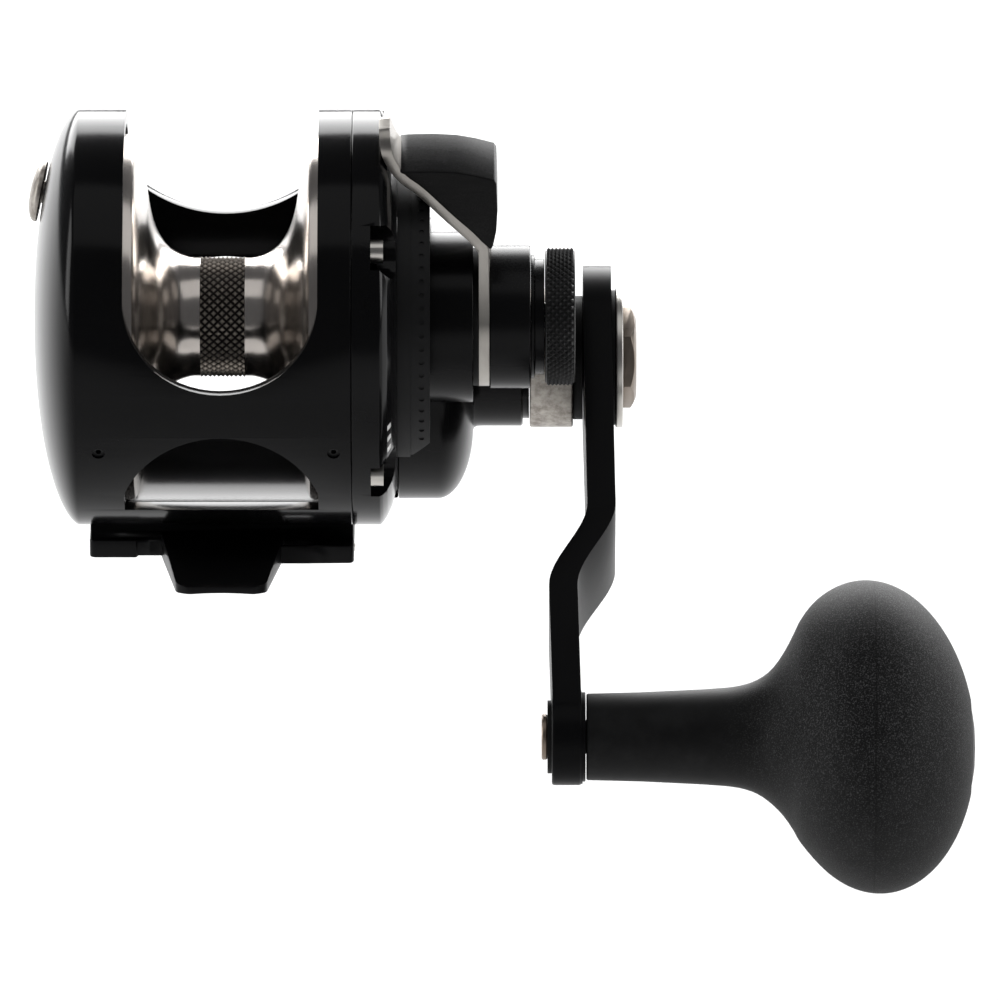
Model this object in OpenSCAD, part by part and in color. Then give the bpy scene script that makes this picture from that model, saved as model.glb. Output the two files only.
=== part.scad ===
// Lever-drag trolling reel. X runs along the spool axis towards the handle, Y forwards to the
// rod tip, Z up. The origin is the middle of the foot's flat underside. Millimetres.
// An angle called a direction is turned about X: 0 is forwards, 90 up, 180 back, 270 down.

/* [Body] */
// Radius of the frame and of the side plate
body_r = 33; // [32.6:0.1:34]
// Height of the spool axis above the foot's underside
axis_z = 36.7; // [36.7:0.1:38]
// Half the width of the openings in the frame
open_half = 15.3; // [14.9:0.1:15.5]
// Wall of the frame at its openings
wall = 2.4; // [2.2:0.1:2.6]
// How far the left end bulges out of its ring
dome_depth = 7.2; // [6.8:0.1:7.6]

/* [Spool] */
// Radius of the arbor that the line is wound on
arbor_r = 9.4; // [9:0.1:10]
// Radius of the spool's flanges
flange_r = 29; // [28.4:0.1:29.6]

/* [Gears] */
// Teeth on the main gear
main_teeth = 56; // [56:4:56]
// Teeth on the pinion
pinion_teeth = 14; // [14:1:14]
// Distance from the spool axis to the handle axis
axis_gap = 22.6; // [22.6:0.05:22.8]

/* [Drag lever] */
// Direction of the lever at rest
lever_dir = 107; // [90:1:120]
// Width of the bent lever strip
lever_w = 9; // [8:0.5:10]
// Clicks in the quadrant's rim
detents = 34; // [20:1:40]

/* [Handle] */
// Distance from the handle axis to the knob's spindle
arm_len = 75.2; // [72:0.2:80]
// Direction of the arm at rest
arm_dir = 215; // [180:1:250]
// Thickness of the arm
arm_t = 4.5; // [4.2:0.1:4.6]
// Greatest radius of the knob
knob_r = 24.6; // [22:0.1:26]

/* [Foot] */
// Half the length of the foot, from its middle to the end of a toe
foot_half = 30; // [28:0.5:33]
// Width of a toe at its end
toe_end_w = 13.5; // [12:0.5:14]

/* [Hidden] */
$fn = 96;

// Places along X
left_ring_x = -22.7;            // where the left dome starts
seam_x = 20.6;                  // joint between the frame and the side plate
plate_round_x = 25.1;           // where the side plate starts to round over
plate_x = 27.7;                 // outer face of the side plate
cover_x = 39.7;                 // outer face of the gear cover
tower_x = 47.6;                 // end of the gear cover's tower
collar_x = 48.7;                // start of the handle's collar
arm_x = 57.2;                   // inner face of the arm at the handle axis
knob_x = 57.5;                  // inner end of the knob

// Spool and bore
bore_r = body_r - wall;         // inside of the frame
spool_half = 17;                // half the spool's overall width
shaft_r = 2.4;
handle_dir = -34.2;             // direction of the handle axis from the spool axis
handle_y = axis_gap * cos(handle_dir);
handle_z = axis_z + axis_gap * sin(handle_dir);

// Gear tooth sizes from the module that fits the axis distance
gear_module = 2 * axis_gap / (main_teeth + pinion_teeth);
pressure_angle = 20;
backlash = 0.12;
gear_x = 28.9;
gear_w = 3.5;

// Bent lever, as points [x, distance from the spool axis] on its inner side
lever_t = 1.7;
lever_hub_x = 40.6;
lever_hub_r = 11;

// Arm's shape
arm_hub_r = 14.7;
arm_waist_r = 9.1;
arm_waist_at = 36;
arm_tip_r = 7.6;
arm_rake = 0.025;
bend_at = 43.7;
bend_len = 16;
bend_shift = 6.5;

// Foot's shape
foot_t = 3.7;
wing_t = 3;
wing_half_x = 21.2;
wing_front = 13;
wing_rear = [11, 13.9];         // left and right wings reach back this far
toe_root_half = 10.4;
notch_x = 11.4;
notch_y = 9.6;
notch_r = 1.6;

// Screws of the side plate, in pockets on its rim, and screws of the gear cover
side_screw_dirs = [71.5, 143.5, 215.5, 287.5, 359.5];
side_screw_r = 31.1;
pocket_x = plate_round_x - 1.5;
pocket_r = 4.2;
cover_screw_dirs = [-60, 0, 60];
cover_base_r = 22.5;
lobe_x = 25.3;

// Rim with the lever's clicks, as directions of its two ends
quadrant_r = 24;
quadrant_from = 35;
quadrant_to = 228;

// Ratchet wheel and its two dogs
ratchet_teeth = 12;
ratchet_x = 34;
ratchet_w = 2;
dog_r = 8.6;
dog_dirs = [45, 225];

// Clicker: its direction, distance from the spool axis and slant
click_dir = 72;
click_at = 19.8;
click_tilt = 11.3;

// Outline of the grip: a tapered stem that flows into a round ball
ball_x = 102.6;
ball_half = 16.2;
knob_stem = [[6.85, knob_x], [7, knob_x + 8], [7.65, 78.1]];
knob_flow = [[7.65, 78.1], [8, 84], [9.1, 87.1], [17, 90.9]];

// ---------------------------------------------------------------- helpers
// Draws children with their own Z along the reel's X, starting at x
module along_x(x = 0) { translate([x, 0, 0]) rotate([90, 0, 90]) children(); }

// Puts children on the spool axis or on the handle axis
module on_spool_axis() { translate([0, 0, axis_z]) children(); }
module on_handle_axis() { translate([0, handle_y, handle_z]) children(); }

// A disc from x0 to x1, and a ring from x0 to x1
module disc(x0, x1, r) { along_x(x0) cylinder(h = x1 - x0, r = r); }
module ring(x0, x1, r_out, r_in) {
    difference() {
        disc(x0, x1, r_out);
        disc(x0 - 1, x1 + 1, r_in);
    }
}

// A disc with a bevel on both rims
module bevelled_disc(x0, x1, r, b) {
    revolve([[0, x0], [r - b, x0], [r, x0 + b], [r, x1 - b], [r - b, x1], [0, x1]]);
}

// Turns an outline of [radius, x] points about the X axis
module revolve(points) { along_x() rotate_extrude() polygon(points); }

// A disc placed on a circle of radius r at direction a
module disc_at(a, r, x0, x1, disc_r) {
    rotate([a, 0, 0]) translate([0, r, 0]) disc(x0, x1, disc_r);
}

function bezier(p, t) =
    pow(1 - t, 3) * p[0] + 3 * t * pow(1 - t, 2) * p[1] + 3 * t * t * (1 - t) * p[2] + pow(t, 3) * p[3];

// ---------------------------------------------------------------- frame
function dome_x(r, scale_r = body_r, depth = dome_depth) =
    left_ring_x - depth * pow(1 - pow(min(r / scale_r, 1), 2.2), 0.6);

module frame_shell() {
    dome = [for (i = [0:24]) let (r = body_r * sin(i * 90 / 24)) [r, dome_x(r)]];
    hollow_r = 27;
    hollow = [for (i = [0:12]) let (r = hollow_r * sin(i * 90 / 12)) [r, dome_x(r, hollow_r, 4.2) - 0.2]];
    difference() {
        revolve(concat(dome, [[body_r, seam_x], [0, seam_x]]));
        disc(-17.6, 17.3, bore_r);
        disc(17, seam_x + 1, bore_r - 0.6);
        revolve(concat(hollow, [[hollow_r, -17], [0, -17]]));
    }
    // Boss that holds the left shaft bearing
    ring(-27, -20.2, 8.6, 6.5);
    disc(-27.4, -24.6, 8.6);
}

// An opening with an arched end, cut along Y: from z0, where the arch is, away to z1
module arch_cut(z0, z1, arch_r, y0, y1) {
    up = sign(z1 - z0);
    translate([0, y1, 0]) rotate([90, 0, 0]) linear_extrude(y1 - y0)
        intersection() {
            union() {
                translate([0, z0 + up * arch_r]) circle(arch_r);
                translate([-open_half, min(z0 + up * arch_r, z1)])
                    square([2 * open_half, abs(z1 - z0) - arch_r]);
            }
            translate([-open_half, min(z0, z1)]) square([2 * open_half, abs(z1 - z0)]);
        }
}

module click_slot() {
    slot_w = 4.2;
    rotate([click_dir, 0, 0]) translate([-32, 9.7, -slot_w / 2]) cube([10, 16.2, slot_w]);
}

module frame() {
    color([0.06, 0.06, 0.065]) on_spool_axis() difference() {
        frame_shell();
        arch_cut(-2.7, 40, 15.4, -40, -4);
        arch_cut(8.1, 40, 19.5, 4, 40);
        translate([-open_half, -10, 12]) cube([2 * open_half, 20, 30]);
        arch_cut(-10.3, -25.4, 16, -40, -8);
        arch_cut(0.6, -24.6, 16, 8, 40);
        click_slot();
        disc(-25, -20.2, 6.5);
        // Drain holes low in the back of both rings
        for (x = [-19.2, 17.8])
            rotate([203.5, 0, 0]) translate([x, body_r + 1, 0]) rotate([90, 0, 0]) cylinder(h = 6, r = 1);
        // Screws from the side plate and from the foot
        for (a = side_screw_dirs) disc_at(a, side_screw_r, seam_x - 2.8, seam_x + 1, 0.72);
        for (x = [-18.3, 18.3], y = [-7, 7]) translate([x, y, -axis_z]) cylinder(h = 7, r = 1.52);
    }
}

module drain_plugs() {
    color([0.2, 0.2, 0.2]) on_spool_axis() for (x = [-19.2, 17.8])
        rotate([203.5, 0, 0]) translate([x, body_r - 0.5, 0]) rotate([90, 0, 0]) difference() {
            cylinder(h = 1.6, r = 1);
            translate([0, 0, -0.1]) cylinder(h = 0.9, r = 0.5, $fn = 6);
        }
}

// ---------------------------------------------------------------- foot
module wing_outline() {
    difference() {
        union() {
            translate([-wing_half_x, -wing_rear[0]]) square([wing_half_x + 2, wing_rear[0] + wing_front]);
            translate([0, -wing_rear[1]]) square([wing_half_x - 0.4, wing_rear[1] + wing_front]);
        }
        // Round notches beside the toes
        for (sx = [-1, 1], sy = [-1, 1]) {
            translate([sx * notch_x, sy * notch_y]) circle(notch_r);
            translate([sx * notch_x - notch_r, sy > 0 ? notch_y : -notch_y - 9]) square([2 * notch_r, 9]);
        }
    }
}

module toe_outline() {
    corner = 1.6;
    for (s = [-1, 1]) polygon([[-toe_root_half, s * 6], [toe_root_half, s * 6],
        [toe_end_w / 2 + 0.4, s * (foot_half - corner)], [toe_end_w / 2 - corner, s * foot_half],
        [corner - toe_end_w / 2, s * foot_half], [-toe_end_w / 2 - 0.4, s * (foot_half - corner)]]);
}

// Side view of the toes, which thin out towards their ends
module toe_side() {
    for (s = [-1, 1])
        polygon([[0, 0], [s * 40, 0], [s * 40, 0.4], [s * foot_half, 1.3], [s * 12.5, foot_t], [0, foot_t]]);
}

module foot() {
    seat_gap = 0.02;
    saddle_y = 8.4;
    color([0.05, 0.05, 0.055]) difference() {
        union() {
            linear_extrude(wing_t) wing_outline();
            translate([-wing_half_x, -saddle_y, 0]) cube([2 * wing_half_x - 0.4, 2 * saddle_y, foot_t + 1.1]);
            intersection() {
                linear_extrude(foot_t + 1) toe_outline();
                along_x(-20) linear_extrude(40) toe_side();
            }
        }
        // Cradle under the frame
        on_spool_axis() disc(-40, 40, body_r + seat_gap);
        // Shallow hollow that sits on the rod, only under the toes
        for (s = [-1, 1])
            translate([0, s * 24, -59.6]) rotate([90, 0, 0])
                cylinder(h = 15, r = 60, center = true, $fn = 240);
        for (x = [-18.3, 18.3], y = [-7, 7]) translate([x, y, -1]) {
            cylinder(h = 12, r = 1.55);
            cylinder(h = 1.9, r = 2.8);
        }
    }
}

module foot_screws() {
    color([0.6, 0.6, 0.6]) for (x = [-18.3, 18.3], y = [-7, 7]) translate([x, y, 0.15]) difference() {
        union() {
            cylinder(h = 6.4, r = 1.5);
            cylinder(h = 0.75, r = 2.7);
        }
        translate([0, 0, -0.1]) cylinder(h = 0.6, r = 1.1, $fn = 6);
    }
}

// ---------------------------------------------------------------- side plate and covers

module side_plate() {
    rim = [[body_r, 25], [body_r - 0.5, 25.5], [31.4, 26.2], [29.8, 26.9], [28, 27.4], [25.6, plate_x]];
    color([0.07, 0.07, 0.075]) on_spool_axis() difference() {
        union() {
            difference() {
                revolve(concat([[0, seam_x], [body_r, seam_x]], rim, [[0, plate_x]]));
                disc(seam_x - 1, 24.6, 27.2);
            }
            // Bosses round the two bearings, and the lobe behind the gear cover
            disc(22.2, 25, 8.4);
            translate([0, handle_y, handle_z - axis_z]) {
                disc(22.6, 25, 6.3);
                bevelled_disc(lobe_x, plate_x, cover_base_r, 0.4);
            }
        }
        disc(seam_x, 26.1, 7);
        disc(seam_x, plate_x + 1, 5.7);
        translate([0, handle_y, handle_z - axis_z]) {
            disc(seam_x, 26.2, 5);
            disc(seam_x, plate_x + 1, 3.8);
        }
        for (a = side_screw_dirs) {
            disc_at(a, side_screw_r, seam_x - 1, plate_x + 1, 0.75);
            disc_at(a, side_screw_r - 0.3, pocket_x, plate_x + 1, pocket_r);
        }
        // Screws that hold the gear cover
        for (a = cover_screw_dirs) cover_screw_at(a) disc(seam_x + 1, plate_x + 1, 0.8);
    }
}

module side_plate_screws() {
    head_t = 2;
    color([0.75, 0.75, 0.74]) on_spool_axis() for (a = side_screw_dirs) difference() {
        union() {
            disc_at(a, side_screw_r, pocket_x + 0.02, pocket_x + head_t, 1.88);
            disc_at(a, side_screw_r, seam_x - 2.6, pocket_x + 0.1, 0.7);
        }
        rotate([a, 0, 0]) translate([pocket_x + head_t - 0.9, side_screw_r, 0])
            along_x() cylinder(h = 2, r = 0.8, $fn = 6);
    }
}

module cover_screw_at(a) {
    translate([0, handle_y, handle_z - axis_z]) rotate([handle_dir + a, 0, 0])
        translate([0, 20.7, 0]) children();
}

// Outline of the gear cover's dome, as [radius, x] about the handle axis
function cover_r(x) = 10.8 + 11.7 * sqrt(1 - pow((max(x, 34) - 34) / (cover_x - 34), 2));

module gear_cover() {
    base_x = plate_x + 0.05;
    dome = [for (i = [0:12]) let (x = 34 + (cover_x - 34) * sin(i * 7.5)) [cover_r(x), x]];
    shift = [0, handle_y, handle_z - axis_z];
    color([0.08, 0.08, 0.085]) on_spool_axis() difference() {
        union() {
            disc(base_x, cover_x, 13.55);
            translate(shift) {
                revolve(concat([[0, base_x], [cover_base_r, base_x]], dome, [[0, cover_x]]));
                disc(cover_x - 1, tower_x, 10.9);
                disc(tower_x - 1, collar_x - 0.1, 9.7);
            }
        }
        // Flat beside the boss, so that a thumb clears the cover
        rotate([-18, 0, 0]) translate([33, -40, 13.55]) cube([10, 80, 30]);
        translate(shift) {
            disc(base_x - 1, 33.2, 19.5);
            disc(33, 38, 10.4);
            disc(37, collar_x + 1, 4.2);
            disc(42, collar_x + 1, 7);
        }
        disc(base_x - 1, 33.2, 6.2);
        disc(33, cover_x + 1, 5.2);
        for (a = cover_screw_dirs) cover_screw_at(a) disc(base_x - 1, base_x + 3.5, 0.75);
    }
}

module gear_cover_screws() {
    color([0.6, 0.6, 0.6]) on_spool_axis() for (a = cover_screw_dirs) cover_screw_at(a) {
        bevelled_disc(lobe_x - 0.9, lobe_x - 0.02, 1.5, 0.2);
        disc(lobe_x - 0.1, plate_x + 3.3, 0.75);
    }
}

module sector(r, a0, a1) {
    n = 12;
    arc = [for (i = [0:n]) let (a = a0 + (a1 - a0) * i / n) 1.6 * r * [cos(a), sin(a)]];
    polygon(concat([[0.3, 0.2]], arc));
}

module quadrant() {
    base_x = plate_x + 0.05;
    color([0.1, 0.1, 0.11]) on_spool_axis() difference() {
        union() {
            ring(base_x, 29.8, quadrant_r + 0.4, 20);
            ring(29.7, 32.9, quadrant_r, 20.6);
        }
        // The part that is left out, between the two ends
        along_x(base_x - 1) linear_extrude(10) sector(quadrant_r, quadrant_to, quadrant_from + 360);
        // Slanted ends of the rim
        for (e = [[quadrant_to, -35], [quadrant_from, 35]])
            rotate([e[0], 0, 0]) translate([30.2, 15, 0]) rotate([0, e[1], 0])
                translate([0, 0, -10]) cube([10, 15, 20]);
        for (i = [0:detents - 1])
            rotate([quadrant_from + 12 + i * (quadrant_to - quadrant_from - 24) / (detents - 1), 0, 0])
                translate([31.6, quadrant_r + 1, 0]) rotate([90, 0, 0]) cylinder(h = 1.22, r = 0.4, $fn = 16);
    }
}

// ---------------------------------------------------------------- spool
module spool() {
    band_half = 3.5;
    // Bowl between the arbor and a flange, as [radius, x]
    bend = [[arbor_r, 4.6], [arbor_r + 0.6, 8.6], [12.5, 10.7], [18.5, 11.75]];
    bowl = [for (i = [0:8]) bezier(bend, i / 8)];
    side = concat(bowl, [[24.4, 12.6], [flange_r - 0.5, 13.7], [flange_r, 14.2], [flange_r, spool_half]]);
    mirrored = [for (i = [len(side) - 1:-1:0]) [side[i][0], -side[i][1]]];
    neck_r = arbor_r - 0.6;
    neck = [[arbor_r, -band_half], [neck_r, -band_half], [neck_r, band_half], [arbor_r, band_half]];
    color([0.72, 0.68, 0.64]) on_spool_axis() difference() {
        revolve(concat([[0, -spool_half]], mirrored, neck, side, [[0, spool_half]]));
        disc(-20, 20, 3.6);
        for (s = [-1, 1]) disc(s * 14 - 3.1, s * 14 + 3.1, 6.5);
        // Recess for the drag washer on the handle side, and a lighter left flange
        disc(14.3, 20, 26);
        ring(-20, -14.6, 26, 12);
    }
}

module arbor_band() {
    color([0.3, 0.29, 0.28]) on_spool_axis() ring(-3.5, 3.5, arbor_r + 0.05, arbor_r - 0.6);
}

module bearing(x0, x1, r_out, r_in) {
    lip = (r_out - r_in) / 3;
    difference() {
        ring(x0, x1, r_out, r_in);
        for (x = [x0 - 1, x1 - 0.25]) ring(x, x + 1.25, r_out - lip, r_in + lip);
    }
}

module spool_bearings() {
    color([0.7, 0.7, 0.72]) on_spool_axis() {
        bearing(-15.2, -11.2, 6.5, shaft_r + 0.04);
        bearing(10.9, 14.2, 6.5, shaft_r + 0.04);
    }
}

module spool_shaft() {
    color([0.8, 0.8, 0.8]) on_spool_axis() {
        bevelled_disc(-24.5, 52.5, shaft_r, 0.4);
    }
}

module shaft_bearings() {
    color([0.7, 0.7, 0.72]) on_spool_axis() bearing(-24.5, -20.5, 6.5, shaft_r);
}

module drag_washer() {
    color([0.12, 0.12, 0.12]) on_spool_axis() ring(14.3, 15.3, 25.4, 9);
}

module drag_disc() {
    color([0.75, 0.75, 0.75]) on_spool_axis() {
        ring(15.3, 17.6, 25.2, 8.6);
        difference() {
            disc(15.3, 20, 9);
            disc(15, 21, shaft_r + 0.1);
        }
    }
}

// ---------------------------------------------------------------- gears
function involute(a) = tan(a) * 180 / PI - a;
function pitch_r(teeth) = teeth * gear_module / 2;
function half_tooth(teeth, r) =
    let (rb = pitch_r(teeth) * cos(pressure_angle))
    90 / teeth - backlash / pitch_r(teeth) * 90 / PI
        + involute(pressure_angle) - involute(acos(min(1, rb / max(r, rb))));

module gear(x0, x1, teeth) {
    rp = pitch_r(teeth);
    radii = [rp - 1.2 * gear_module, rp * cos(pressure_angle) + 0.001, rp, rp + 0.9 * gear_module];
    flank_radii = radii[0] < radii[1] ? radii : [radii[0], radii[0] + 0.3, rp, radii[3]];
    along_x(x0) linear_extrude(x1 - x0) polygon([
        for (i = [0:teeth - 1], side = [-1, 1], k = [0:3])
            let (r = flank_radii[side < 0 ? k : 3 - k], a = i * 360 / teeth + side * half_tooth(teeth, r))
            r * [cos(a), sin(a)]
    ]);
}

module pinion() {
    color([0.78, 0.72, 0.5]) on_spool_axis() rotate([handle_dir, 0, 0]) difference() {
        union() {
            gear(gear_x - 0.4, gear_x + gear_w + 0.4, pinion_teeth);
            disc(20, gear_x - 0.3, 3.5);
        }
        disc(19, 40, shaft_r + 0.05);
    }
}

module pinion_bearing() {
    color([0.7, 0.7, 0.72]) on_spool_axis() bearing(22.4, 26.1, 7, 3.54);
}

module belleville_washers() {
    color([0.65, 0.65, 0.66]) on_spool_axis() for (i = [0:3]) {
        x = 34.2 + i * 1.1;
        flip = i % 2 == 0 ? 1 : -1;
        revolve([[shaft_r + 0.1, x - 0.2 * flip], [4.8, x + 0.2 * flip],
            [4.8, x + 0.2 * flip + 0.5], [shaft_r + 0.1, x - 0.2 * flip + 0.5]]);
    }
}

module main_gear() {
    color([0.78, 0.72, 0.5]) on_handle_axis()
        rotate([handle_dir + 180 + 180 / main_teeth, 0, 0]) difference() {
            gear(gear_x, gear_x + gear_w, main_teeth);
            disc(20, 40, 3.5);
            for (i = [0:5]) disc_at(i * 60, 11, 20, 40, 2.6);
        }
}

module gear_shaft() {
    color([0.75, 0.75, 0.75]) on_handle_axis() {
        bevelled_disc(23.7, 64.9, 3.5, 0.3);
    }
}

module ratchet_wheel() {
    tip_r = 7.4;
    root_r = 6.2;
    color([0.7, 0.7, 0.7]) on_handle_axis() difference() {
        along_x(ratchet_x) linear_extrude(ratchet_w) polygon([
            for (i = [0:ratchet_teeth - 1], k = [0:2])
                let (a = (i + [0, 0.08, 0.55][k]) * 360 / ratchet_teeth, r = [root_r, tip_r, 6.9][k])
                r * [cos(a), sin(a)]
        ]);
        disc(30, 40, 3.5);
    }
}

// Two dogs on opposite sides of the ratchet wheel, each on its own pin

module dog(a) {
    pin_r = 0.6;
    color([0.7, 0.7, 0.7]) on_handle_axis() rotate([a, 0, 0]) difference() {
        union() {
            translate([0, dog_r, 0]) disc(ratchet_x, ratchet_x + ratchet_w, 1.15);
            along_x(ratchet_x) linear_extrude(ratchet_w)
                polygon([[9.6, 0], [8.7, 4.2], [7.7, 4], [7.7, 0.6], [8, -0.6], [9.1, -0.8]]);
        }
        translate([0, dog_r, 0]) disc(30, 40, pin_r + 0.05);
    }
}

module dog_front() { dog(dog_dirs[0]); }
module dog_rear() { dog(dog_dirs[1]); }

module dog_pins() {
    color([0.8, 0.8, 0.8]) on_handle_axis() for (a = dog_dirs)
        rotate([a, 0, 0]) translate([0, dog_r, 0]) disc(33.4, 39, 0.6);
}

module gear_shaft_bearings() {
    color([0.7, 0.7, 0.72]) on_handle_axis() {
        bearing(23.7, 26.2, 5, 3.54);
        bearing(42.6, 46.6, 7, 3.54);
    }
}

// ---------------------------------------------------------------- clicker

module on_click_stem() {
    on_spool_axis() rotate([click_dir, 0, 0]) translate([dome_x(click_at), click_at, 0])
        rotate([0, 0, -click_tilt]) children();
}

module click_gear() {
    color([0.75, 0.72, 0.6]) on_spool_axis() difference() {
        along_x(-19.2) linear_extrude(2.2) polygon([
            for (i = [0:35]) let (r = i % 2 == 0 ? 12.4 : 11.4) r * [cos(i * 10), sin(i * 10)]
        ]);
        disc(-25, -10, 7);
    }
}

module click_button() {
    head_r = 4.85;
    crown = [for (i = [0:9]) let (a = i * 10) [head_r * cos(a), -0.75 - 1.45 * sin(a)]];
    color([0.7, 0.68, 0.64]) on_click_stem() difference() {
        union() {
            revolve(concat([[0, -0.3], [head_r, -0.3]], crown));
            disc(-0.5, 8.2, 1.8);
        }
        disc(7.2, 9, 0.9);
    }
}

module click_pawl() {
    color([0.7, 0.7, 0.7]) on_click_stem() {
        translate([8.2, 0, 0]) along_x() linear_extrude(1.2)
            polygon([[2.2, -1.8], [2.2, 1.8], [-2.4, 1.2], [-3.6, 0], [-2.4, -1.2]]);
        disc(7.3, 8.3, 0.85);
    }
}

// ---------------------------------------------------------------- drag lever
// The lever runs from its hub along the gear cover, slants in over the quadrant and ends
// outside the plate's rim. Each point is [x, distance from the spool axis] of its middle line.
lever_knots = [[41.45, 14.2], [41.2, 16.2], [39.3, 18.6], [31.3, 27.4], [27.1, 31.9], [25.9, 34.6], [25.7, 36.6]];

module strip_section(p, q, t) {
    // A straight piece of strip between two knots, with round joints
    d = q - p;
    n = [-d[1], d[0]] / norm(d) * t / 2;
    polygon([p + n, q + n, q - n, p - n]);
    translate(p) circle(t / 2, $fn = 32);
    translate(q) circle(t / 2, $fn = 32);
}

// Draws children's [x, radius] outline as a plate w wide, standing out at the lever's direction
module in_lever_plane(w) {
    on_spool_axis() rotate([lever_dir, 0, 0]) translate([0, 0, -w / 2]) linear_extrude(w) children();
}

module lever() {
    color([0.75, 0.73, 0.7]) difference() {
        union() {
            on_spool_axis() ring(lever_hub_x, lever_hub_x + lever_t, lever_hub_r, 4.2);
            in_lever_plane(lever_w) {
                for (i = [0:len(lever_knots) - 2]) strip_section(lever_knots[i], lever_knots[i + 1], lever_t);
                translate([lever_hub_x, 6]) square([lever_t, 8.4]);
            }
        }
        // Round end of the strip
        on_spool_axis() rotate([lever_dir, 0, 0]) for (s = [-1, 1])
            translate([24, 37.5, s * lever_w / 2])
                rotate([s * 45, 0, 0]) cube([8, 3, 3], center = true);
        on_spool_axis() disc(lever_hub_x - 1, lever_hub_x + 5, 4.2);
    }
}

module lever_pad() {
    gap = lever_t / 2 + 0.02;
    outline = [[42.9, 17.2], [43.4, 20], [43.6, 24], [43.4, 29], [43, 29.7], [40, 30.6], [37, 31.2],
        [33.4, 31.4], [29.5, 31.3], [27.7, 31.2]];
    color([0.08, 0.08, 0.08]) in_lever_plane(11) difference() {
        polygon(concat([[41.6, 17.2]], outline, [[26.6, 31.1]]));
        for (i = [0:len(lever_knots) - 2]) strip_section(lever_knots[i], lever_knots[i + 1], 2 * gap);
        // Everything on the inner side of the strip
        polygon(concat(lever_knots, [[20, 36.6], [20, 14.2]]));
    }
}

module lever_cam() {
    color([0.5, 0.5, 0.52]) on_spool_axis() difference() {
        union() {
            disc(38.7, lever_hub_x, 5.14);
            disc(lever_hub_x - 0.1, lever_hub_x + lever_t, 4.2);
        }
        disc(38, 45, shaft_r + 0.06);
    }
}

module lever_washer() {
    color([0.05, 0.05, 0.05]) on_spool_axis() ring(cover_x + 0.05, lever_hub_x - 0.05, 10.8, 5.3);
}

module lever_collar() {
    color([0.09, 0.09, 0.095]) on_spool_axis() difference() {
        bevelled_disc(lever_hub_x + lever_t, 48.8, 11.35, 0.3);
        disc(40, 50, shaft_r + 0.2);
    }
}

module detent_plunger() {
    color([0.7, 0.7, 0.7]) on_spool_axis() rotate([lever_dir, 0, 0]) translate([31.3, quadrant_r + 0.35, 0])
        rotate([-90, 0, 0]) cylinder(h = 2.2, r = 0.7);
}

module preset_neck() {
    color([0.06, 0.06, 0.06]) on_spool_axis() difference() {
        union() {
            disc(48.85, 49.4, 9.8);
            disc(49.3, 51, 9.2);
        }
        disc(48, 52, shaft_r + 0.2);
    }
}

module preset_knob() {
    grooves = 60;
    color([0.07, 0.07, 0.07]) on_spool_axis() difference() {
        bevelled_disc(51.1, 55.9, 10.95, 0.5);
        disc(50, 53, shaft_r + 0.1);
        for (i = [0:grooves - 1]) rotate([i * 360 / grooves, 0, 0]) translate([53.4, 11.05, 0])
            rotate([45, 0, 0]) cube([6, 0.4, 0.4], center = true);
    }
}

// ---------------------------------------------------------------- handle
module handle_collar() {
    color([0.66, 0.65, 0.62]) on_handle_axis() difference() {
        bevelled_disc(collar_x, 55.65, 11.1, 0.35);
        disc(collar_x - 1, 60, 3.5);
    }
}

module inner_washer() {
    color([0.05, 0.05, 0.05]) on_handle_axis() ring(55.65, arm_x - 0.02, 9.9, 3.5);
}

// Middle of the arm's thickness at a distance along the arm
function smooth(t) = let (c = max(0, min(1, t))) c * c * (3 - 2 * c);
function arm_middle(d) =
    arm_x + arm_t / 2 + arm_rake * max(0, d - 12)
        - bend_shift * smooth((d - bend_at + bend_len / 2) / bend_len);

// Flat outline with straight sides that run between two circles
module taper(at0, r0, at1, r1) {
    a = asin((r0 - r1) / (at1 - at0));
    q0 = r0 - 0.03;
    q1 = r1 - 0.03;
    translate([at0, 0]) circle(r0);
    translate([at1, 0]) circle(r1);
    polygon([[at0 + q0 * sin(a), q0 * cos(a)], [at1 + q1 * sin(a), q1 * cos(a)],
        [at1 + q1 * sin(a), -q1 * cos(a)], [at0 + q0 * sin(a), -q0 * cos(a)]]);
}

module on_arm() { on_handle_axis() rotate([arm_dir, 0, 0]) children(); }

module arm() {
    bend = [for (i = [0:10]) bend_at - bend_len / 2 + bend_len * i / 10];
    stations = concat([-16, 12], bend, [86]);
    boss_x = 52.1;
    inner = [for (d = stations) [arm_middle(d) - arm_t / 2, d]];
    outer = [for (i = [len(stations) - 1:-1:0]) [arm_middle(stations[i]) + arm_t / 2, stations[i]]];
    color([0.05, 0.05, 0.055]) on_arm() difference() {
        union() {
            intersection() {
                along_x(40) linear_extrude(30) {
                    taper(0, arm_hub_r, arm_waist_at, arm_waist_r);
                    taper(arm_waist_at, arm_waist_r - 0.05, arm_len, arm_tip_r - 0.2);
                }
                translate([0, 0, -20]) linear_extrude(40) polygon(concat(inner, outer));
            }
            translate([0, arm_len, 0]) bevelled_disc(boss_x, knob_x - 0.1, arm_tip_r, 0.4);
        }
        disc(40, 70, 3.5);
        translate([0, arm_len, 0]) disc(40, 70, 2.5);
    }
}

module outer_washer() {
    color([0.05, 0.05, 0.05]) on_handle_axis() ring(arm_x + arm_t + 0.02, 62.4, 10.8, 3.5);
}

module lock_washer() {
    color([0.8, 0.8, 0.79]) on_handle_axis() difference() {
        bevelled_disc(62.42, 63.6, 11.2, 0.3);
        disc(60, 70, 3.5);
    }
}

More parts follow.
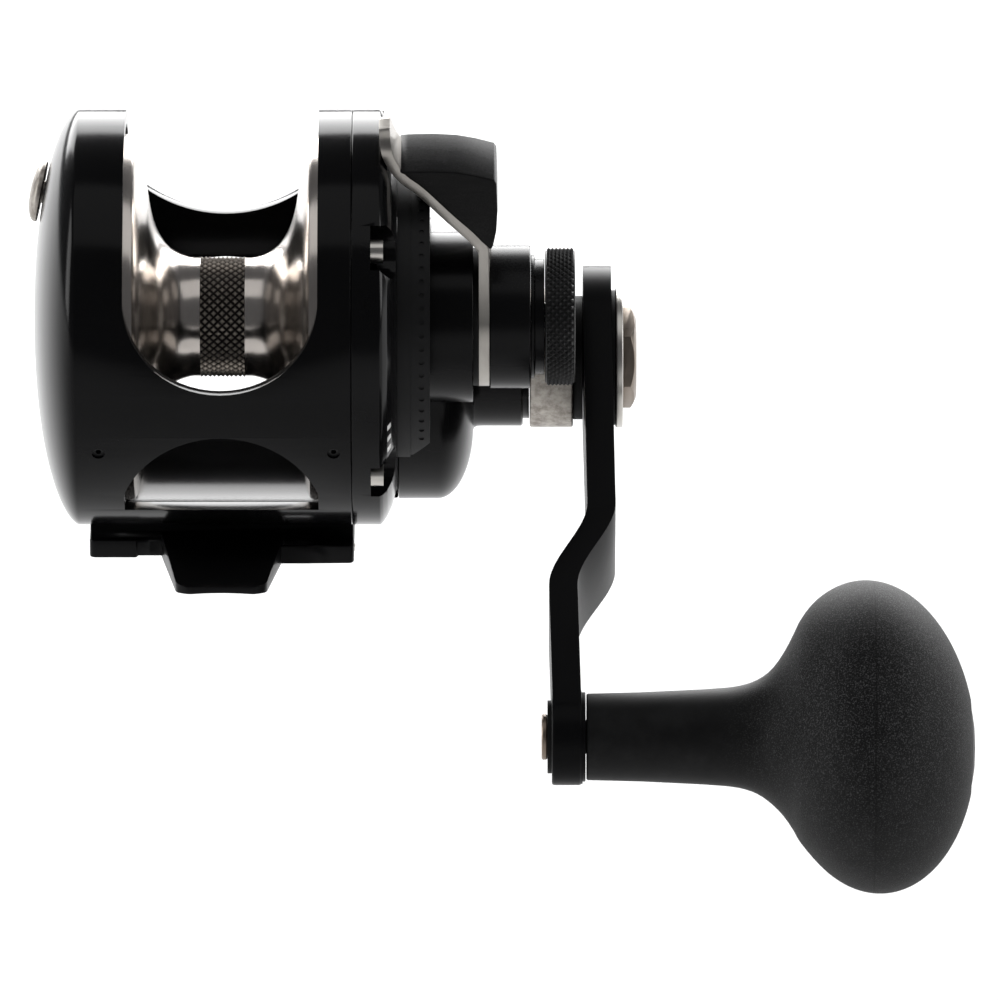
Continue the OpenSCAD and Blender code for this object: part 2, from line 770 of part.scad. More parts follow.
module handle_nut() {
    flats = 14;
    corner_r = flats / 2 / cos(30);
    color([0.72, 0.7, 0.66]) on_handle_axis() difference() {
        intersection() {
            rotate([18, 0, 0]) along_x(63.62) cylinder(h = 2.3, r = corner_r, $fn = 6);
            revolve([[0, 63.5], [corner_r + 0.1, 63.5], [corner_r + 0.1, 64.9], [flats / 2 - 0.5, 65.8], [0, 65.8]]);
        }
        disc(60, 65, 3.5);
    }
}

// ---------------------------------------------------------------- knob
module at_knob() { on_arm() translate([0, arm_len, 0]) children(); }

function ball_point(a) = [knob_r * cos(a), ball_x + ball_half * sin(a)];

module knob() {
    start_a = -asin((ball_x - 90.9) / ball_half);
    cap_a = 72;
    n = 22;
    outline = concat(
        knob_stem,
        [for (i = [1:7]) bezier(knob_flow, i / 8)],
        [for (i = [0:n]) ball_point(start_a + (cap_a - start_a) * i / n)]);
    color([0.09, 0.09, 0.09]) at_knob() difference() {
        revolve(concat([[0, knob_x]], outline, [[0, ball_point(cap_a)[1]]]));
        disc(knob_x - 1, 106, 4.6);
        disc(105, 130, 6.5);
    }
}

module knob_bushes() {
    color([0.75, 0.7, 0.5]) at_knob() {
        ring(knob_x + 0.1, knob_x + 5, 4.6, 2.9);
        ring(100.5, 105.5, 4.6, 2.9);
    }
}

module knob_spindle() {
    head_x = 50.5;
    color([0.55, 0.5, 0.45]) at_knob() difference() {
        union() {
            bevelled_disc(head_x, 51.4, 3.6, 0.2);
            disc(51.3, 58, 2.5);
            bevelled_disc(knob_x - 0.1, 107.5, 2.8, 0.2);
            disc(106, 108.6, 5.4);
        }
        translate([head_x - 0.1, 0, 0]) along_x() cylinder(h = 0.9, r = 1.7, $fn = 6);
    }
}

module spindle_washer() {
    color([0.05, 0.05, 0.05]) at_knob() ring(51.42, 52.08, 5.75, 2.55);
}

module knob_cap() {
    color([0.05, 0.05, 0.05]) at_knob()
        revolve([[0, 115.6], [6.46, 115.6], [6.46, 117.9], [6, 118.2], [3.4, 118.6], [0, 118.75]]);
}

frame();
foot();
foot_screws();
drain_plugs();
side_plate();
side_plate_screws();
gear_cover();
gear_cover_screws();
quadrant();
spool();
arbor_band();
spool_bearings();
spool_shaft();
shaft_bearings();
drag_washer();
drag_disc();
pinion();
pinion_bearing();
belleville_washers();
click_gear();
click_button();
click_pawl();
lever();
lever_pad();
lever_collar();
lever_cam();
lever_washer();
detent_plunger();
preset_neck();
preset_knob();
main_gear();
gear_shaft();
ratchet_wheel();
dog_front();
dog_rear();
dog_pins();
gear_shaft_bearings();
handle_collar();
inner_washer();
arm();
outer_washer();
lock_washer();
handle_nut();
knob();
knob_bushes();
knob_spindle();
spindle_washer();
knob_cap();
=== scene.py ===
import math
import bmesh
import bpy
from mathutils import Matrix, Vector


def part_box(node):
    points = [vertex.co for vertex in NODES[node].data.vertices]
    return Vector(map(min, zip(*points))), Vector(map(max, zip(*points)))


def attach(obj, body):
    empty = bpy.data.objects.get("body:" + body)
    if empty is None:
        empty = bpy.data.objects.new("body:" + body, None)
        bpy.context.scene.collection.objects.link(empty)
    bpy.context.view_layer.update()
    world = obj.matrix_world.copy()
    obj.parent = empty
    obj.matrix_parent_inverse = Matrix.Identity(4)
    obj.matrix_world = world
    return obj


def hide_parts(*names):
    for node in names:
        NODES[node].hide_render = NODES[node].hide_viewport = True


bl_info = {
    "name": "Trolling reel builder",
    "version": (1, 0, 0),
    "blender": (4, 5, 0),
    "location": "View3D > Sidebar > Reel",
    "description": "Builds the shapes and finishes of a lever drag trolling reel round its CAD frame",
    "category": "Object",
}

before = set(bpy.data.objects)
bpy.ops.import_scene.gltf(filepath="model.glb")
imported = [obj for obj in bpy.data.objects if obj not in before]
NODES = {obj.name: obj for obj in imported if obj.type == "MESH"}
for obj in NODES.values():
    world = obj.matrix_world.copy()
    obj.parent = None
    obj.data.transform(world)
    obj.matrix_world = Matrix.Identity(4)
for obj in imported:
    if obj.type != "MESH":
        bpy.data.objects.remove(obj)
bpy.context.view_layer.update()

MM = 0.001
TAU = 2 * math.pi


def middle(node):
    """Middle of a node's box, in millimetres."""
    low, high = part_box(node)
    return (Vector(low) + Vector(high)) / 2 / MM


SPOOL_AXIS = Vector((0, 0, middle("spool").z))
HANDLE_AXIS = Vector((0, *middle("handle_collar").yz))
KNOB_AXIS = Vector((0, *middle("knob").yz))
ARM_WAY = (KNOB_AXIS - HANDLE_AXIS).normalized()
ARM_TURN = math.atan2(ARM_WAY.z, ARM_WAY.y)
ARM_LENGTH = (KNOB_AXIS - HANDLE_AXIS).length
LEVER_TURN = math.radians(107)
CLICK_TURN = math.radians(72)
VIEW_TILT = math.radians(18)


# ------------------------------------------------------------------ modelling helpers

def about_x(angle, origin=Vector((0, 0, 0))):
    """Places local +Y in the direction angle about X, at origin."""
    return Matrix.Translation(origin) @ Matrix.Rotation(angle, 4, "X")


def turned(profile, steps=128):
    """Spins [radius, x] points about the X axis into a closed shell."""
    bm = bmesh.new()
    points = [bm.verts.new((x, radius, 0)) for radius, x in profile]
    edges = [bm.edges.new(pair) for pair in zip(points, points[1:])]
    if profile[0][0] > 0 and profile[-1][0] > 0 and profile[0] != profile[-1]:
        edges.append(bm.edges.new((points[-1], points[0])))
    bmesh.ops.spin(bm, geom=points + edges, cent=(0, 0, 0), axis=(1, 0, 0), angle=TAU,
                   steps=steps, use_merge=True)
    tidy(bm)
    return bm


def tidy(bm, distance=1e-4):
    bmesh.ops.remove_doubles(bm, verts=bm.verts, dist=distance)
    bmesh.ops.dissolve_degenerate(bm, edges=bm.edges, dist=distance)
    bmesh.ops.recalc_face_normals(bm, faces=bm.faces)


def soft_corners(points, radius, steps=4):
    """Rounds the inner corners of an open outline."""
    out = [points[0]]
    for before, corner, after in zip(points, points[1:], points[2:]):
        before, here, after = Vector(before), Vector(corner), Vector(after)
        to_before, to_after = before - here, after - here
        reach = min(radius, to_before.length * 0.48, to_after.length * 0.48)
        start = here + to_before.normalized() * reach
        end = here + to_after.normalized() * reach
        for i in range(steps + 1):
            t = i / steps
            point = start * (1 - t) ** 2 + here * 2 * t * (1 - t) + end * t ** 2
            out.append(tuple(point))
    out.append(points[-1])
    return out


def rounded(points, radius, steps=5):
    """Rounds every corner of a closed outline."""
    closed = [points[-1]] + list(points) + [points[0]]
    return soft_corners(closed, radius, steps)[1:-1]


def ring(x0, x1, outer, inner=0.0, edge=0.25, steps=128):
    """A washer or a disc with softened rims."""
    if inner > 0:
        path = [(inner, (x0 + x1) / 2), (inner, x0), (outer, x0), (outer, x1), (inner, x1), (inner, (x0 + x1) / 2)]
        path = soft_corners(path, edge)[:-1]
    else:
        path = soft_corners([(0, x0), (outer, x0), (outer, x1), (0, x1)], edge)
    return turned(path, steps)


def prism(outline, x0, x1):
    """Extrudes a (y, z) outline from x0 to x1."""
    bm = bmesh.new()
    face = bm.faces.new([bm.verts.new((x0, y, z)) for y, z in outline])
    grown = bmesh.ops.extrude_face_region(bm, geom=[face])
    moved = [v for v in grown["geom"] if isinstance(v, bmesh.types.BMVert)]
    bmesh.ops.translate(bm, verts=moved, vec=(x1 - x0, 0, 0))
    bmesh.ops.recalc_face_normals(bm, faces=bm.faces)
    return bm


def place(bm, matrix):
    bmesh.ops.transform(bm, matrix=matrix, verts=bm.verts)
    return bm


def soften(bm, width, angle=40, segments=2, keep=None):
    """Bevels the edges sharper than angle."""
    limit = math.radians(angle)
    edges = [e for e in bm.edges if len(e.link_faces) == 2 and e.calc_face_angle(0) > limit
             and (keep is None or keep((e.verts[0].co + e.verts[1].co) / 2))]
    bmesh.ops.bevel(bm, geom=edges, offset=width, affect="EDGES", segments=segments, profile=0.5,
                    material=-1, clamp_overlap=True)
    return bm


def as_object(bm, name):
    mesh = bpy.data.meshes.new(name)
    bm.to_mesh(mesh)
    bm.free()
    thing = bpy.data.objects.new(name, mesh)
    bpy.context.scene.collection.objects.link(thing)
    return thing


def combined(base, others, operation="DIFFERENCE"):
    """Cuts the others from the base, or joins them to it."""
    thing = as_object(base, "blank")
    tools = []
    for i, other in enumerate(others):
        tool = as_object(other, "tool")
        tools.append(tool)
        step = thing.modifiers.new("step", "BOOLEAN")
        step.operation = operation
        step.solver = "EXACT"
        step.object = tool
    shaped = thing.evaluated_get(bpy.context.evaluated_depsgraph_get()).to_mesh()
    bm = bmesh.new()
    bm.from_mesh(shaped)
    thing.to_mesh_clear()
    for used in [thing] + tools:
        mesh = used.data
        bpy.data.objects.remove(used)
        bpy.data.meshes.remove(mesh)
    bmesh.ops.remove_doubles(bm, verts=bm.verts, dist=1e-3)
    bmesh.ops.dissolve_degenerate(bm, edges=bm.edges, dist=1e-3)
    return bm


def finish_piece(bm, name, body, material, replaced=(), sharp=32):
    """Makes a millimetre bmesh a piece of the reel that rides on a body."""
    bmesh.ops.scale(bm, vec=(MM, MM, MM), verts=bm.verts)
    for face in bm.faces:
        face.smooth = True
    thing = as_object(bm, name)
    thing.data.set_sharp_from_angle(angle=math.radians(sharp))
    thing.data.materials.append(material)
    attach(thing, body)
    if replaced:
        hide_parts(*replaced)
    return thing


def knurled_ring(radius, x0, x1, inner, pitch, depth):
    """A ring whose outside is cut into small pyramids by crossed grooves."""
    count = round(TAU * radius / pitch)
    around = TAU * radius
    pitch = around / count
    width = x1 - x0
    across = math.ceil((around + width) / pitch) + 2
    bm = bmesh.new()
    bmesh.ops.create_grid(bm, x_segments=across, y_segments=across, size=across * pitch / math.sqrt(2) / 2)
    bmesh.ops.rotate(bm, verts=bm.verts, cent=(0, 0, 0), matrix=Matrix.Rotation(math.radians(45), 3, "Z"))
    for side, normal in ((around / 2, (1, 0, 0)), (around / 2, (-1, 0, 0)),
                         (width / 2 + pitch, (0, 1, 0)), (width / 2 + pitch, (0, -1, 0))):
        bmesh.ops.bisect_plane(bm, geom=bm.verts[:] + bm.edges[:] + bm.faces[:], dist=1e-5,
                               plane_co=Vector(normal) * (side + (pitch if normal[0] else 0)), plane_no=normal,
                               clear_outer=True)
    whole = [f for f in bm.faces if f.calc_area() > pitch * pitch / 2 * 0.99]
    bmesh.ops.poke(bm, faces=whole, offset=depth, center_mode="MEAN")
    for side, normal in ((around / 2, (1, 0, 0)), (around / 2, (-1, 0, 0)),
                         (width / 2, (0, 1, 0)), (width / 2, (0, -1, 0))):
        bmesh.ops.bisect_plane(bm, geom=bm.verts[:] + bm.edges[:] + bm.faces[:], dist=1e-5,
                               plane_co=Vector(normal) * side, plane_no=normal, clear_outer=True)
    for v in bm.verts:
        turn = v.co.x / radius
        out = radius - depth + v.co.z
        v.co = ((x0 + x1) / 2 + v.co.y, out * math.cos(turn), out * math.sin(turn))
    bmesh.ops.remove_doubles(bm, verts=bm.verts, dist=1e-3)
    rims = [e for e in bm.edges if e.is_boundary]
    grown = bmesh.ops.extrude_edge_only(bm, edges=rims)
    new = [g for g in grown["geom"] if isinstance(g, bmesh.types.BMVert)]
    for v in new:
        flat = Vector((0, v.co.y, v.co.z)).normalized() * inner
        v.co = (v.co.x, flat.y, flat.z)
    loops = [e for e in bm.edges if e.is_boundary]
    bmesh.ops.bridge_loops(bm, edges=loops)
    bmesh.ops.recalc_face_normals(bm, faces=bm.faces)
    return bm


# ------------------------------------------------------------------ shader helpers

class Value:
    """A number in a material; Python's operators on it add the matching Math nodes."""

    def __init__(self, shade, socket):
        self.shade = shade
        self.socket = socket

    def math(self, operation, *others):
        return self.shade.node("ShaderNodeMath", {"operation": operation}, (self,) + others)

    def __add__(self, other):
        return self.math("ADD", other)

    __radd__ = __add__

    def __sub__(self, other):
        return self.math("SUBTRACT", other)

    def __rsub__(self, other):
        return self.shade.node("ShaderNodeMath", {"operation": "SUBTRACT"}, (other, self))

    def __mul__(self, other):
        return self.math("MULTIPLY", other)

    __rmul__ = __mul__

    def __truediv__(self, other):
        return self.math("DIVIDE", other)

    def __pow__(self, other):
        return self.math("POWER", other)

    def __gt__(self, other):
        return self.math("GREATER_THAN", other)

    def __lt__(self, other):
        return self.math("LESS_THAN", other)

    def step(self, low, high):
        """Rises smoothly from 0 at low to 1 at high."""
        return self.shade.node("ShaderNodeMapRange", {"interpolation_type": "SMOOTHSTEP"},
                               {0: self, 1: low, 2: high, 3: 0.0, 4: 1.0})


class Shade:
    """One material and its node tree."""

    def __init__(self, name):
        self.material = bpy.data.materials.new(name)
        self.material.use_nodes = True
        self.tree = self.material.node_tree
        self.tree.nodes.clear()
        self.place = self.node("ShaderNodeTexCoord", output="Object")

    def node(self, kind, settings=None, inputs=None, output=0):
        made = self.tree.nodes.new(kind)
        for key, setting in (settings or {}).items():
            setattr(made, key, setting)
        given = inputs or {}
        if not isinstance(given, dict):
            given = dict(enumerate(given))
        for key, value in given.items():
            if isinstance(value, Value):
                self.tree.links.new(value.socket, made.inputs[key])
            else:
                made.inputs[key].default_value = value
        return Value(self, made.outputs[output])

    def moved(self, origin):
        """Object coordinates in millimetres, counted from origin."""
        shift = self.node("ShaderNodeVectorMath", {"operation": "SUBTRACT"},
                          {0: self.place, 1: tuple(origin * MM)})
        return self.node("ShaderNodeVectorMath", {"operation": "SCALE"}, {0: shift, 3: 1 / MM})

    def axes(self, origin):
        split = self.node("ShaderNodeSeparateXYZ", inputs=[self.moved(origin)])
        outputs = split.socket.node.outputs
        return [Value(self, outputs[i]) for i in range(3)]

    def noise(self, scale, detail=3.0, rough=0.55, stretch=(1, 1, 1), origin=Vector((0, 0, 0))):
        spread = self.node("ShaderNodeVectorMath", {"operation": "MULTIPLY"},
                           {0: self.moved(origin), 1: stretch})
        return self.node("ShaderNodeTexNoise", {"noise_dimensions": "3D"},
                         {"Vector": spread, "Scale": scale, "Detail": detail, "Roughness": rough}, "Fac")

    def cells(self, scale, feature="F1"):
        return self.node("ShaderNodeTexVoronoi", {"feature": feature},
                         {"Vector": self.moved(Vector((0, 0, 0))), "Scale": scale}, "Distance")

    def mix(self, factor, first, second):
        """A colour between two colours."""
        made = self.tree.nodes.new("ShaderNodeMix")
        made.data_type = "RGBA"
        self.tree.links.new(factor.socket, made.inputs[0])
        for index, colour in ((6, first), (7, second)):
            if isinstance(colour, Value):
                self.tree.links.new(colour.socket, made.inputs[index])
            else:
                made.inputs[index].default_value = (*colour, 1)
        return Value(self, made.outputs[2])

    def bump(self, height, strength, distance):
        return self.node("ShaderNodeBump", inputs={"Strength": strength, "Distance": distance * MM, "Height": height},
                         output="Normal")

    def surface(self, **sockets):
        """Ends the material in a Principled BSDF; a socket's name has underscores for spaces."""
        named = {key.replace("_", " "): value for key, value in sockets.items()}
        shader = self.node("ShaderNodeBsdfPrincipled", inputs=named, output="BSDF")
        self.node_out = self.tree.nodes.new("ShaderNodeOutputMaterial")
        self.tree.links.new(shader.socket, self.node_out.inputs["Surface"])
        return self.material


def radius_of(y, z):
    return (y * y + z * z) ** 0.5


def fine_rings(shade, origin, pitch, along="radius"):
    """Tiny waves left by a lathe, by radius on faces and by length on turned sides."""
    x, y, z = shade.axes(origin)
    wander = shade.noise(0.35, 2.0, stretch=(1, 0.06, 0.06), origin=origin)
    place = radius_of(y, z) if along == "radius" else x
    if along == "both":
        place = x + radius_of(y, z)
    wave = (place * (TAU / pitch) + wander * 6.0).math("SINE")
    return wave


def black_anodised(name="black_anodised", origin=SPOOL_AXIS, tone=1.0, rough=0.09, shine=0.12):
    """Gloss black anodised metal: deep black, faint lathe grain, faint handling haze."""
    s = Shade(name)
    haze = s.noise(0.06, 4.0)
    dust = s.noise(2.4, 3.0)
    grain = fine_rings(s, origin, 0.34, "both")
    colour = s.mix(haze, (0.0024 * tone, 0.0024 * tone, 0.0027 * tone), (0.0052 * tone, 0.0052 * tone, 0.0056 * tone))
    roughness = rough + haze * 0.08 + dust * 0.05
    height = grain * 0.25 + dust * 0.5
    return s.surface(Base_Color=colour, Roughness=roughness, Specular_IOR_Level=shine,
                     Normal=s.bump(height, 0.10, 0.012))


def black_moulded(name="black_moulded", tone=1.0, rough=0.42):
    """Satin black moulded plastic with a fine spark-eroded grain."""
    s = Shade(name)
    cloud = s.noise(0.12, 3.0)
    grain = s.noise(5.5, 3.0, 0.6)
    colour = s.mix(cloud, (0.006 * tone, 0.006 * tone, 0.0065 * tone), (0.013 * tone, 0.013 * tone, 0.0135 * tone))
    roughness = rough + grain * 0.16
    return s.surface(Base_Color=colour, Roughness=roughness, Specular_IOR_Level=0.22,
                     Normal=s.bump(grain, 0.25, 0.03))


def pad_plastic():
    """The thumb pad: black plastic, slightly dusty, with faint flow lines."""
    s = Shade("pad_plastic")
    streak = s.noise(0.5, 3.0, stretch=(0.25, 1, 1))
    grain = s.noise(7.0, 2.0)
    colour = s.mix(streak, (0.004, 0.004, 0.0042), (0.011, 0.0105, 0.0105))
    return s.surface(Base_Color=colour, Roughness=0.2 + grain * 0.08 + streak * 0.06, Specular_IOR_Level=0.1,
                     Normal=s.bump(grain * 0.6 + streak, 0.2, 0.03))


def dull_washer():
    """Dull black washer with rubbed patches."""
    s = Shade("dull_washer")
    rub = s.noise(0.9, 4.0)
    return s.surface(Base_Color=s.mix(rub, (0.003, 0.003, 0.003), (0.012, 0.012, 0.012)),
                     Roughness=0.5 + rub * 0.25, Specular_IOR_Level=0.2, Normal=s.bump(rub, 0.2, 0.02))


def turned_aluminium():
    """Warm bright aluminium off a lathe: fine rings and soft cloudy streaks."""
    s = Shade("turned_aluminium")
    rings = fine_rings(s, SPOOL_AXIS, 0.22, "both")
    cloud = s.noise(0.1, 3.0, origin=SPOOL_AXIS)
    band = s.noise(1.2, 2.0, stretch=(1.0, 0.05, 0.05), origin=SPOOL_AXIS)
    colour = s.mix(cloud, (0.42, 0.38, 0.35), (0.66, 0.62, 0.58))
    return s.surface(Base_Color=colour, Metallic=1.0, Roughness=0.11 + band * 0.12 + cloud * 0.05,
                     Normal=s.bump(rings * 0.4 + band, 0.14, 0.02))


def knurled_metal(name="knurled_metal", low=(0.035, 0.032, 0.03), high=(0.72, 0.68, 0.63), metal=1.0, radius=9.4,
                  origin=SPOOL_AXIS):
    """Knurled metal: painted shade darkens the grooves; a painted highlight with rubbed wear brightens the points."""
    s = Shade(name)
    x, y, z = s.axes(origin)
    # Painted shade and highlight: the colour runs by radius from dark in the grooves to bright on the points.
    point = radius_of(y, z).step(radius - 0.38, radius)
    grime = s.noise(1.6, 3.0)
    shine = point * (0.6 + grime * 0.6)
    return s.surface(Base_Color=s.mix(shine, low, high), Metallic=metal, Roughness=0.46 - point * 0.22 + grime * 0.1,
                     Normal=s.bump(grime, 0.15, 0.02))


def blasted_steel():
    """Bead blasted stainless: fine even pitting, a little warm."""
    s = Shade("blasted_steel")
    pits = s.noise(6.0, 4.0, 0.7)
    cloud = s.noise(0.55, 5.0, 0.7).step(0.3, 0.7)
    colour = s.mix(cloud, (0.24, 0.215, 0.19), (0.5, 0.47, 0.43))
    return s.surface(Base_Color=colour, Metallic=1.0, Roughness=0.42 + pits * 0.12,
                     Normal=s.bump(pits, 0.35, 0.03))


def brushed_strip():
    """Satin stainless strip, brushed along its length."""
    s = Shade("brushed_strip")
    lines = s.noise(3.0, 4.0, 0.65, stretch=(0.12, 0.12, 3.0))
    cloud = s.noise(0.2, 3.0)
    colour = s.mix(cloud, (0.32, 0.3, 0.275), (0.46, 0.44, 0.41))
    return s.surface(Base_Color=colour, Metallic=1.0, Roughness=0.24 + lines * 0.16,
                     Normal=s.bump(lines, 0.2, 0.015))


def bright_steel(name="bright_steel", origin=HANDLE_AXIS, low=(0.46, 0.44, 0.41), high=(0.66, 0.64, 0.60), rough=0.24):
    """Bright turned stainless with faint rings."""
    s = Shade(name)
    rings = fine_rings(s, origin, 0.18, "both")
    cloud = s.noise(0.3, 3.0)
    return s.surface(Base_Color=s.mix(cloud, low, high), Metallic=1.0, Roughness=rough + cloud * 0.12,
                     Normal=s.bump(rings, 0.12, 0.015))


def cut_brass():
    """Cut brass gear teeth with a dry film of grease."""
    s = Shade("cut_brass")
    film = s.noise(0.35, 4.0)
    lines = s.noise(4.0, 3.0, stretch=(4, 0.3, 0.3))
    return s.surface(Base_Color=s.mix(film, (0.42, 0.27, 0.09), (0.72, 0.52, 0.22)), Metallic=1.0,
                     Roughness=0.26 + film * 0.2, Normal=s.bump(lines, 0.15, 0.02))


def carbon_washer():
    """Woven carbon friction washer."""
    s = Shade("carbon_washer")
    x, y, z = s.axes(SPOOL_AXIS)
    weave = (y * 3.6).math("SINE") * (z * 3.6).math("SINE")
    return s.surface(Base_Color=s.mix(weave.step(-0.4, 0.4), (0.01, 0.01, 0.01), (0.05, 0.05, 0.052)),
                     Roughness=0.5 + weave * 0.08, Normal=s.bump(weave, 0.3, 0.05))


def grip_rubber():
    """Dark grey grip: pebbled, speckled ball with specks painted brighter on top as a painted highlight; smoother stem;
    scratches; mould seam.
    """
    s = Shade("grip_rubber")
    x, y, z = s.axes(KNOB_AXIS)
    ball = x.step(76.0, 92.0)
    pebble = s.noise(3.4, 3.0, 0.6)
    fine = s.noise(4.2, 3.0, 0.75)
    # Painted highlight: the ball's specks get stronger towards the top, standing in for light falling from above.
    painted_top_highlight = z.step(-18.0, 26.0)
    specks_and_top_highlight = fine.step(0.5, 0.66) * ball * (0.25 + painted_top_highlight * 0.75)
    scuff = s.noise(0.16, 4.0).step(0.42, 0.75)
    scratch = s.noise(1.3, 2.0, 0.5, stretch=(2.6, 0.3, 0.9)).step(0.66, 0.7) * ball
    seam = (1 - (x - 102.6).math("ABSOLUTE").step(0.05, 0.22)) * ball
    base = s.mix(scuff, (0.0065, 0.0066, 0.0068), (0.013, 0.0131, 0.0134))
    marked = s.mix(specks_and_top_highlight * 0.8 + scratch * 0.15, base, (0.14, 0.14, 0.142))
    colour = s.mix(seam * 0.5, marked, (0.003, 0.003, 0.003))
    height = (pebble * 0.7 + fine * 0.6) * (0.25 + ball * 0.75) - seam * 0.8
    return s.surface(Base_Color=colour, Roughness=0.5 + ball * 0.08 + fine * 0.12, Specular_IOR_Level=0.14,
                     Normal=s.bump(height, 0.5, 0.11))


def plate_finish():
    """The side plate's black, with plain painted ticks near its rim."""
    s = Shade("plate_finish")
    x, y, z = s.axes(SPOOL_AXIS)
    haze = s.noise(0.06, 4.0)
    grain = fine_rings(s, SPOOL_AXIS, 0.34, "both")
    turn = z.math("ARCTAN2", y)
    far = radius_of(y, z)
    band = far.step(30.0, 30.1) * (1 - far.step(31.2, 31.3)) * x.step(25.4, 25.6)
    dashes = (turn * 90.0).math("SINE").step(0.1, 0.3)
    here = turn.step(-2.87, -2.865) * (1 - turn.step(-2.565, -2.56))
    ticks = band * dashes * here
    base = s.mix(haze, (0.0024, 0.0024, 0.0027), (0.0052, 0.0052, 0.0056))
    colour = s.mix(ticks, base, (0.8, 0.8, 0.78))
    return s.surface(Base_Color=colour, Roughness=0.1 + haze * 0.08, Specular_IOR_Level=0.14,
                     Normal=s.bump(grain, 0.06, 0.01))


MATERIALS = {}


def material(name):
    """Makes each finish once."""
    makers = {
        "black_anodised": black_anodised,
        "arm_black": lambda: black_anodised("arm_black", HANDLE_AXIS, 1.3, 0.26, 0.05),
        "foot_black": lambda: black_anodised("foot_black", SPOOL_AXIS, 1.2, 0.24),
        "collar_black": lambda: black_anodised("collar_black", SPOOL_AXIS, 1.4, 0.2),
        "cover_black": lambda: black_anodised("cover_black", HANDLE_AXIS, 1.1, 0.18),
        "black_moulded": black_moulded,
        "knurl_black": lambda: knurled_metal("knurl_black", (0.004, 0.004, 0.004), (0.035, 0.035, 0.036), 0.0,
                                             10.95),
        "pad_plastic": pad_plastic,
        "dull_washer": dull_washer,
        "turned_aluminium": turned_aluminium,
        "knurled_metal": knurled_metal,
        "blasted_steel": blasted_steel,
        "nut_steel": lambda: bright_steel("nut_steel", HANDLE_AXIS, (0.17, 0.14, 0.115), (0.3, 0.255, 0.215), 0.24),
        "pin_steel": lambda: bright_steel("pin_steel", KNOB_AXIS, (0.16, 0.125, 0.1), (0.34, 0.28, 0.23), 0.34),
        "brushed_strip": brushed_strip,
        "bright_steel": bright_steel,
        "shaft_steel": lambda: bright_steel("shaft_steel", SPOOL_AXIS, (0.5, 0.49, 0.48), (0.66, 0.65, 0.64), 0.2),
        "cut_brass": cut_brass,
        "carbon_washer": carbon_washer,
        "grip_rubber": grip_rubber,
        "plate_finish": plate_finish,
    }
    if name not in MATERIALS:
        MATERIALS[name] = makers[name]()
    return MATERIALS[name]


# ------------------------------------------------------------------ settings

class ReelShape(bpy.types.PropertyGroup):
    """Sizes that a user may change, in metres."""
    lip: bpy.props.FloatProperty(name="Opening lip", description="Width of the softened edge round the openings",
                                 default=0.0005, min=0.0002, max=0.0011, unit="LENGTH")
    knurl_pitch: bpy.props.FloatProperty(name="Knurl pitch", description="Spacing of the knurled points",
                                         default=0.00105, min=0.0008, max=0.0016, unit="LENGTH")
    ball_tilt: bpy.props.FloatProperty(name="Ball tilt", description="Lean of the knob's ball on its stem",
                                       default=math.radians(6.1), min=0.0, max=math.radians(10), subtype="ANGLE",
                                       unit="ROTATION")


class ReelStage(bpy.types.PropertyGroup):
    """The floor, the lights and the camera."""
    floor_colour: bpy.props.FloatVectorProperty(name="Floor", description="Colour of the floor", subtype="COLOR",
                                                size=3, default=(0.95, 0.95, 0.95), min=0, max=1)
    camera_distance: bpy.props.FloatProperty(name="Camera distance", description="From the reel's middle",
                                             default=2.54, min=1, max=4, unit="LENGTH")
    camera_tilt: bpy.props.FloatProperty(name="Camera tilt", description="How far the camera looks down",
                                         default=VIEW_TILT, subtype="ANGLE", unit="ROTATION")


# ------------------------------------------------------------------ frame, foot and covers

def arch(z0, z1, arch_r, half, steps=28):
    """Outline of an opening: a round end at z0, straight sides, square at z1. Points are (x, z)."""
    up = 1 if z1 > z0 else -1
    centre = z0 + up * arch_r
    reach = math.asin(min(1.0, half / arch_r))
    curve = [(arch_r * math.sin(a), centre - up * arch_r * math.cos(a))
             for a in [reach * (2 * i / steps - 1) for i in range(steps + 1)]]
    curve[0] = (-half, curve[0][1])
    curve[-1] = (half, curve[-1][1])
    return curve + [(half, z1), (-half, z1)]


def cutter(outline, y0, y1):
    """Prism along Y from an (x, z) outline about the spool axis."""
    bm = bmesh.new()
    face = bm.faces.new([bm.verts.new((x, y0, z)) for x, z in outline])
    grown = bmesh.ops.extrude_face_region(bm, geom=[face])
    moved = [v for v in grown["geom"] if isinstance(v, bmesh.types.BMVert)]
    bmesh.ops.translate(bm, verts=moved, vec=(0, y1 - y0, 0))
    bmesh.ops.recalc_face_normals(bm, faces=bm.faces)
    return bm


def dome_x(radius, edge=33.0, depth=7.2):
    return -22.7 - depth * (1 - min(radius / edge, 1) ** 2.2) ** 0.6


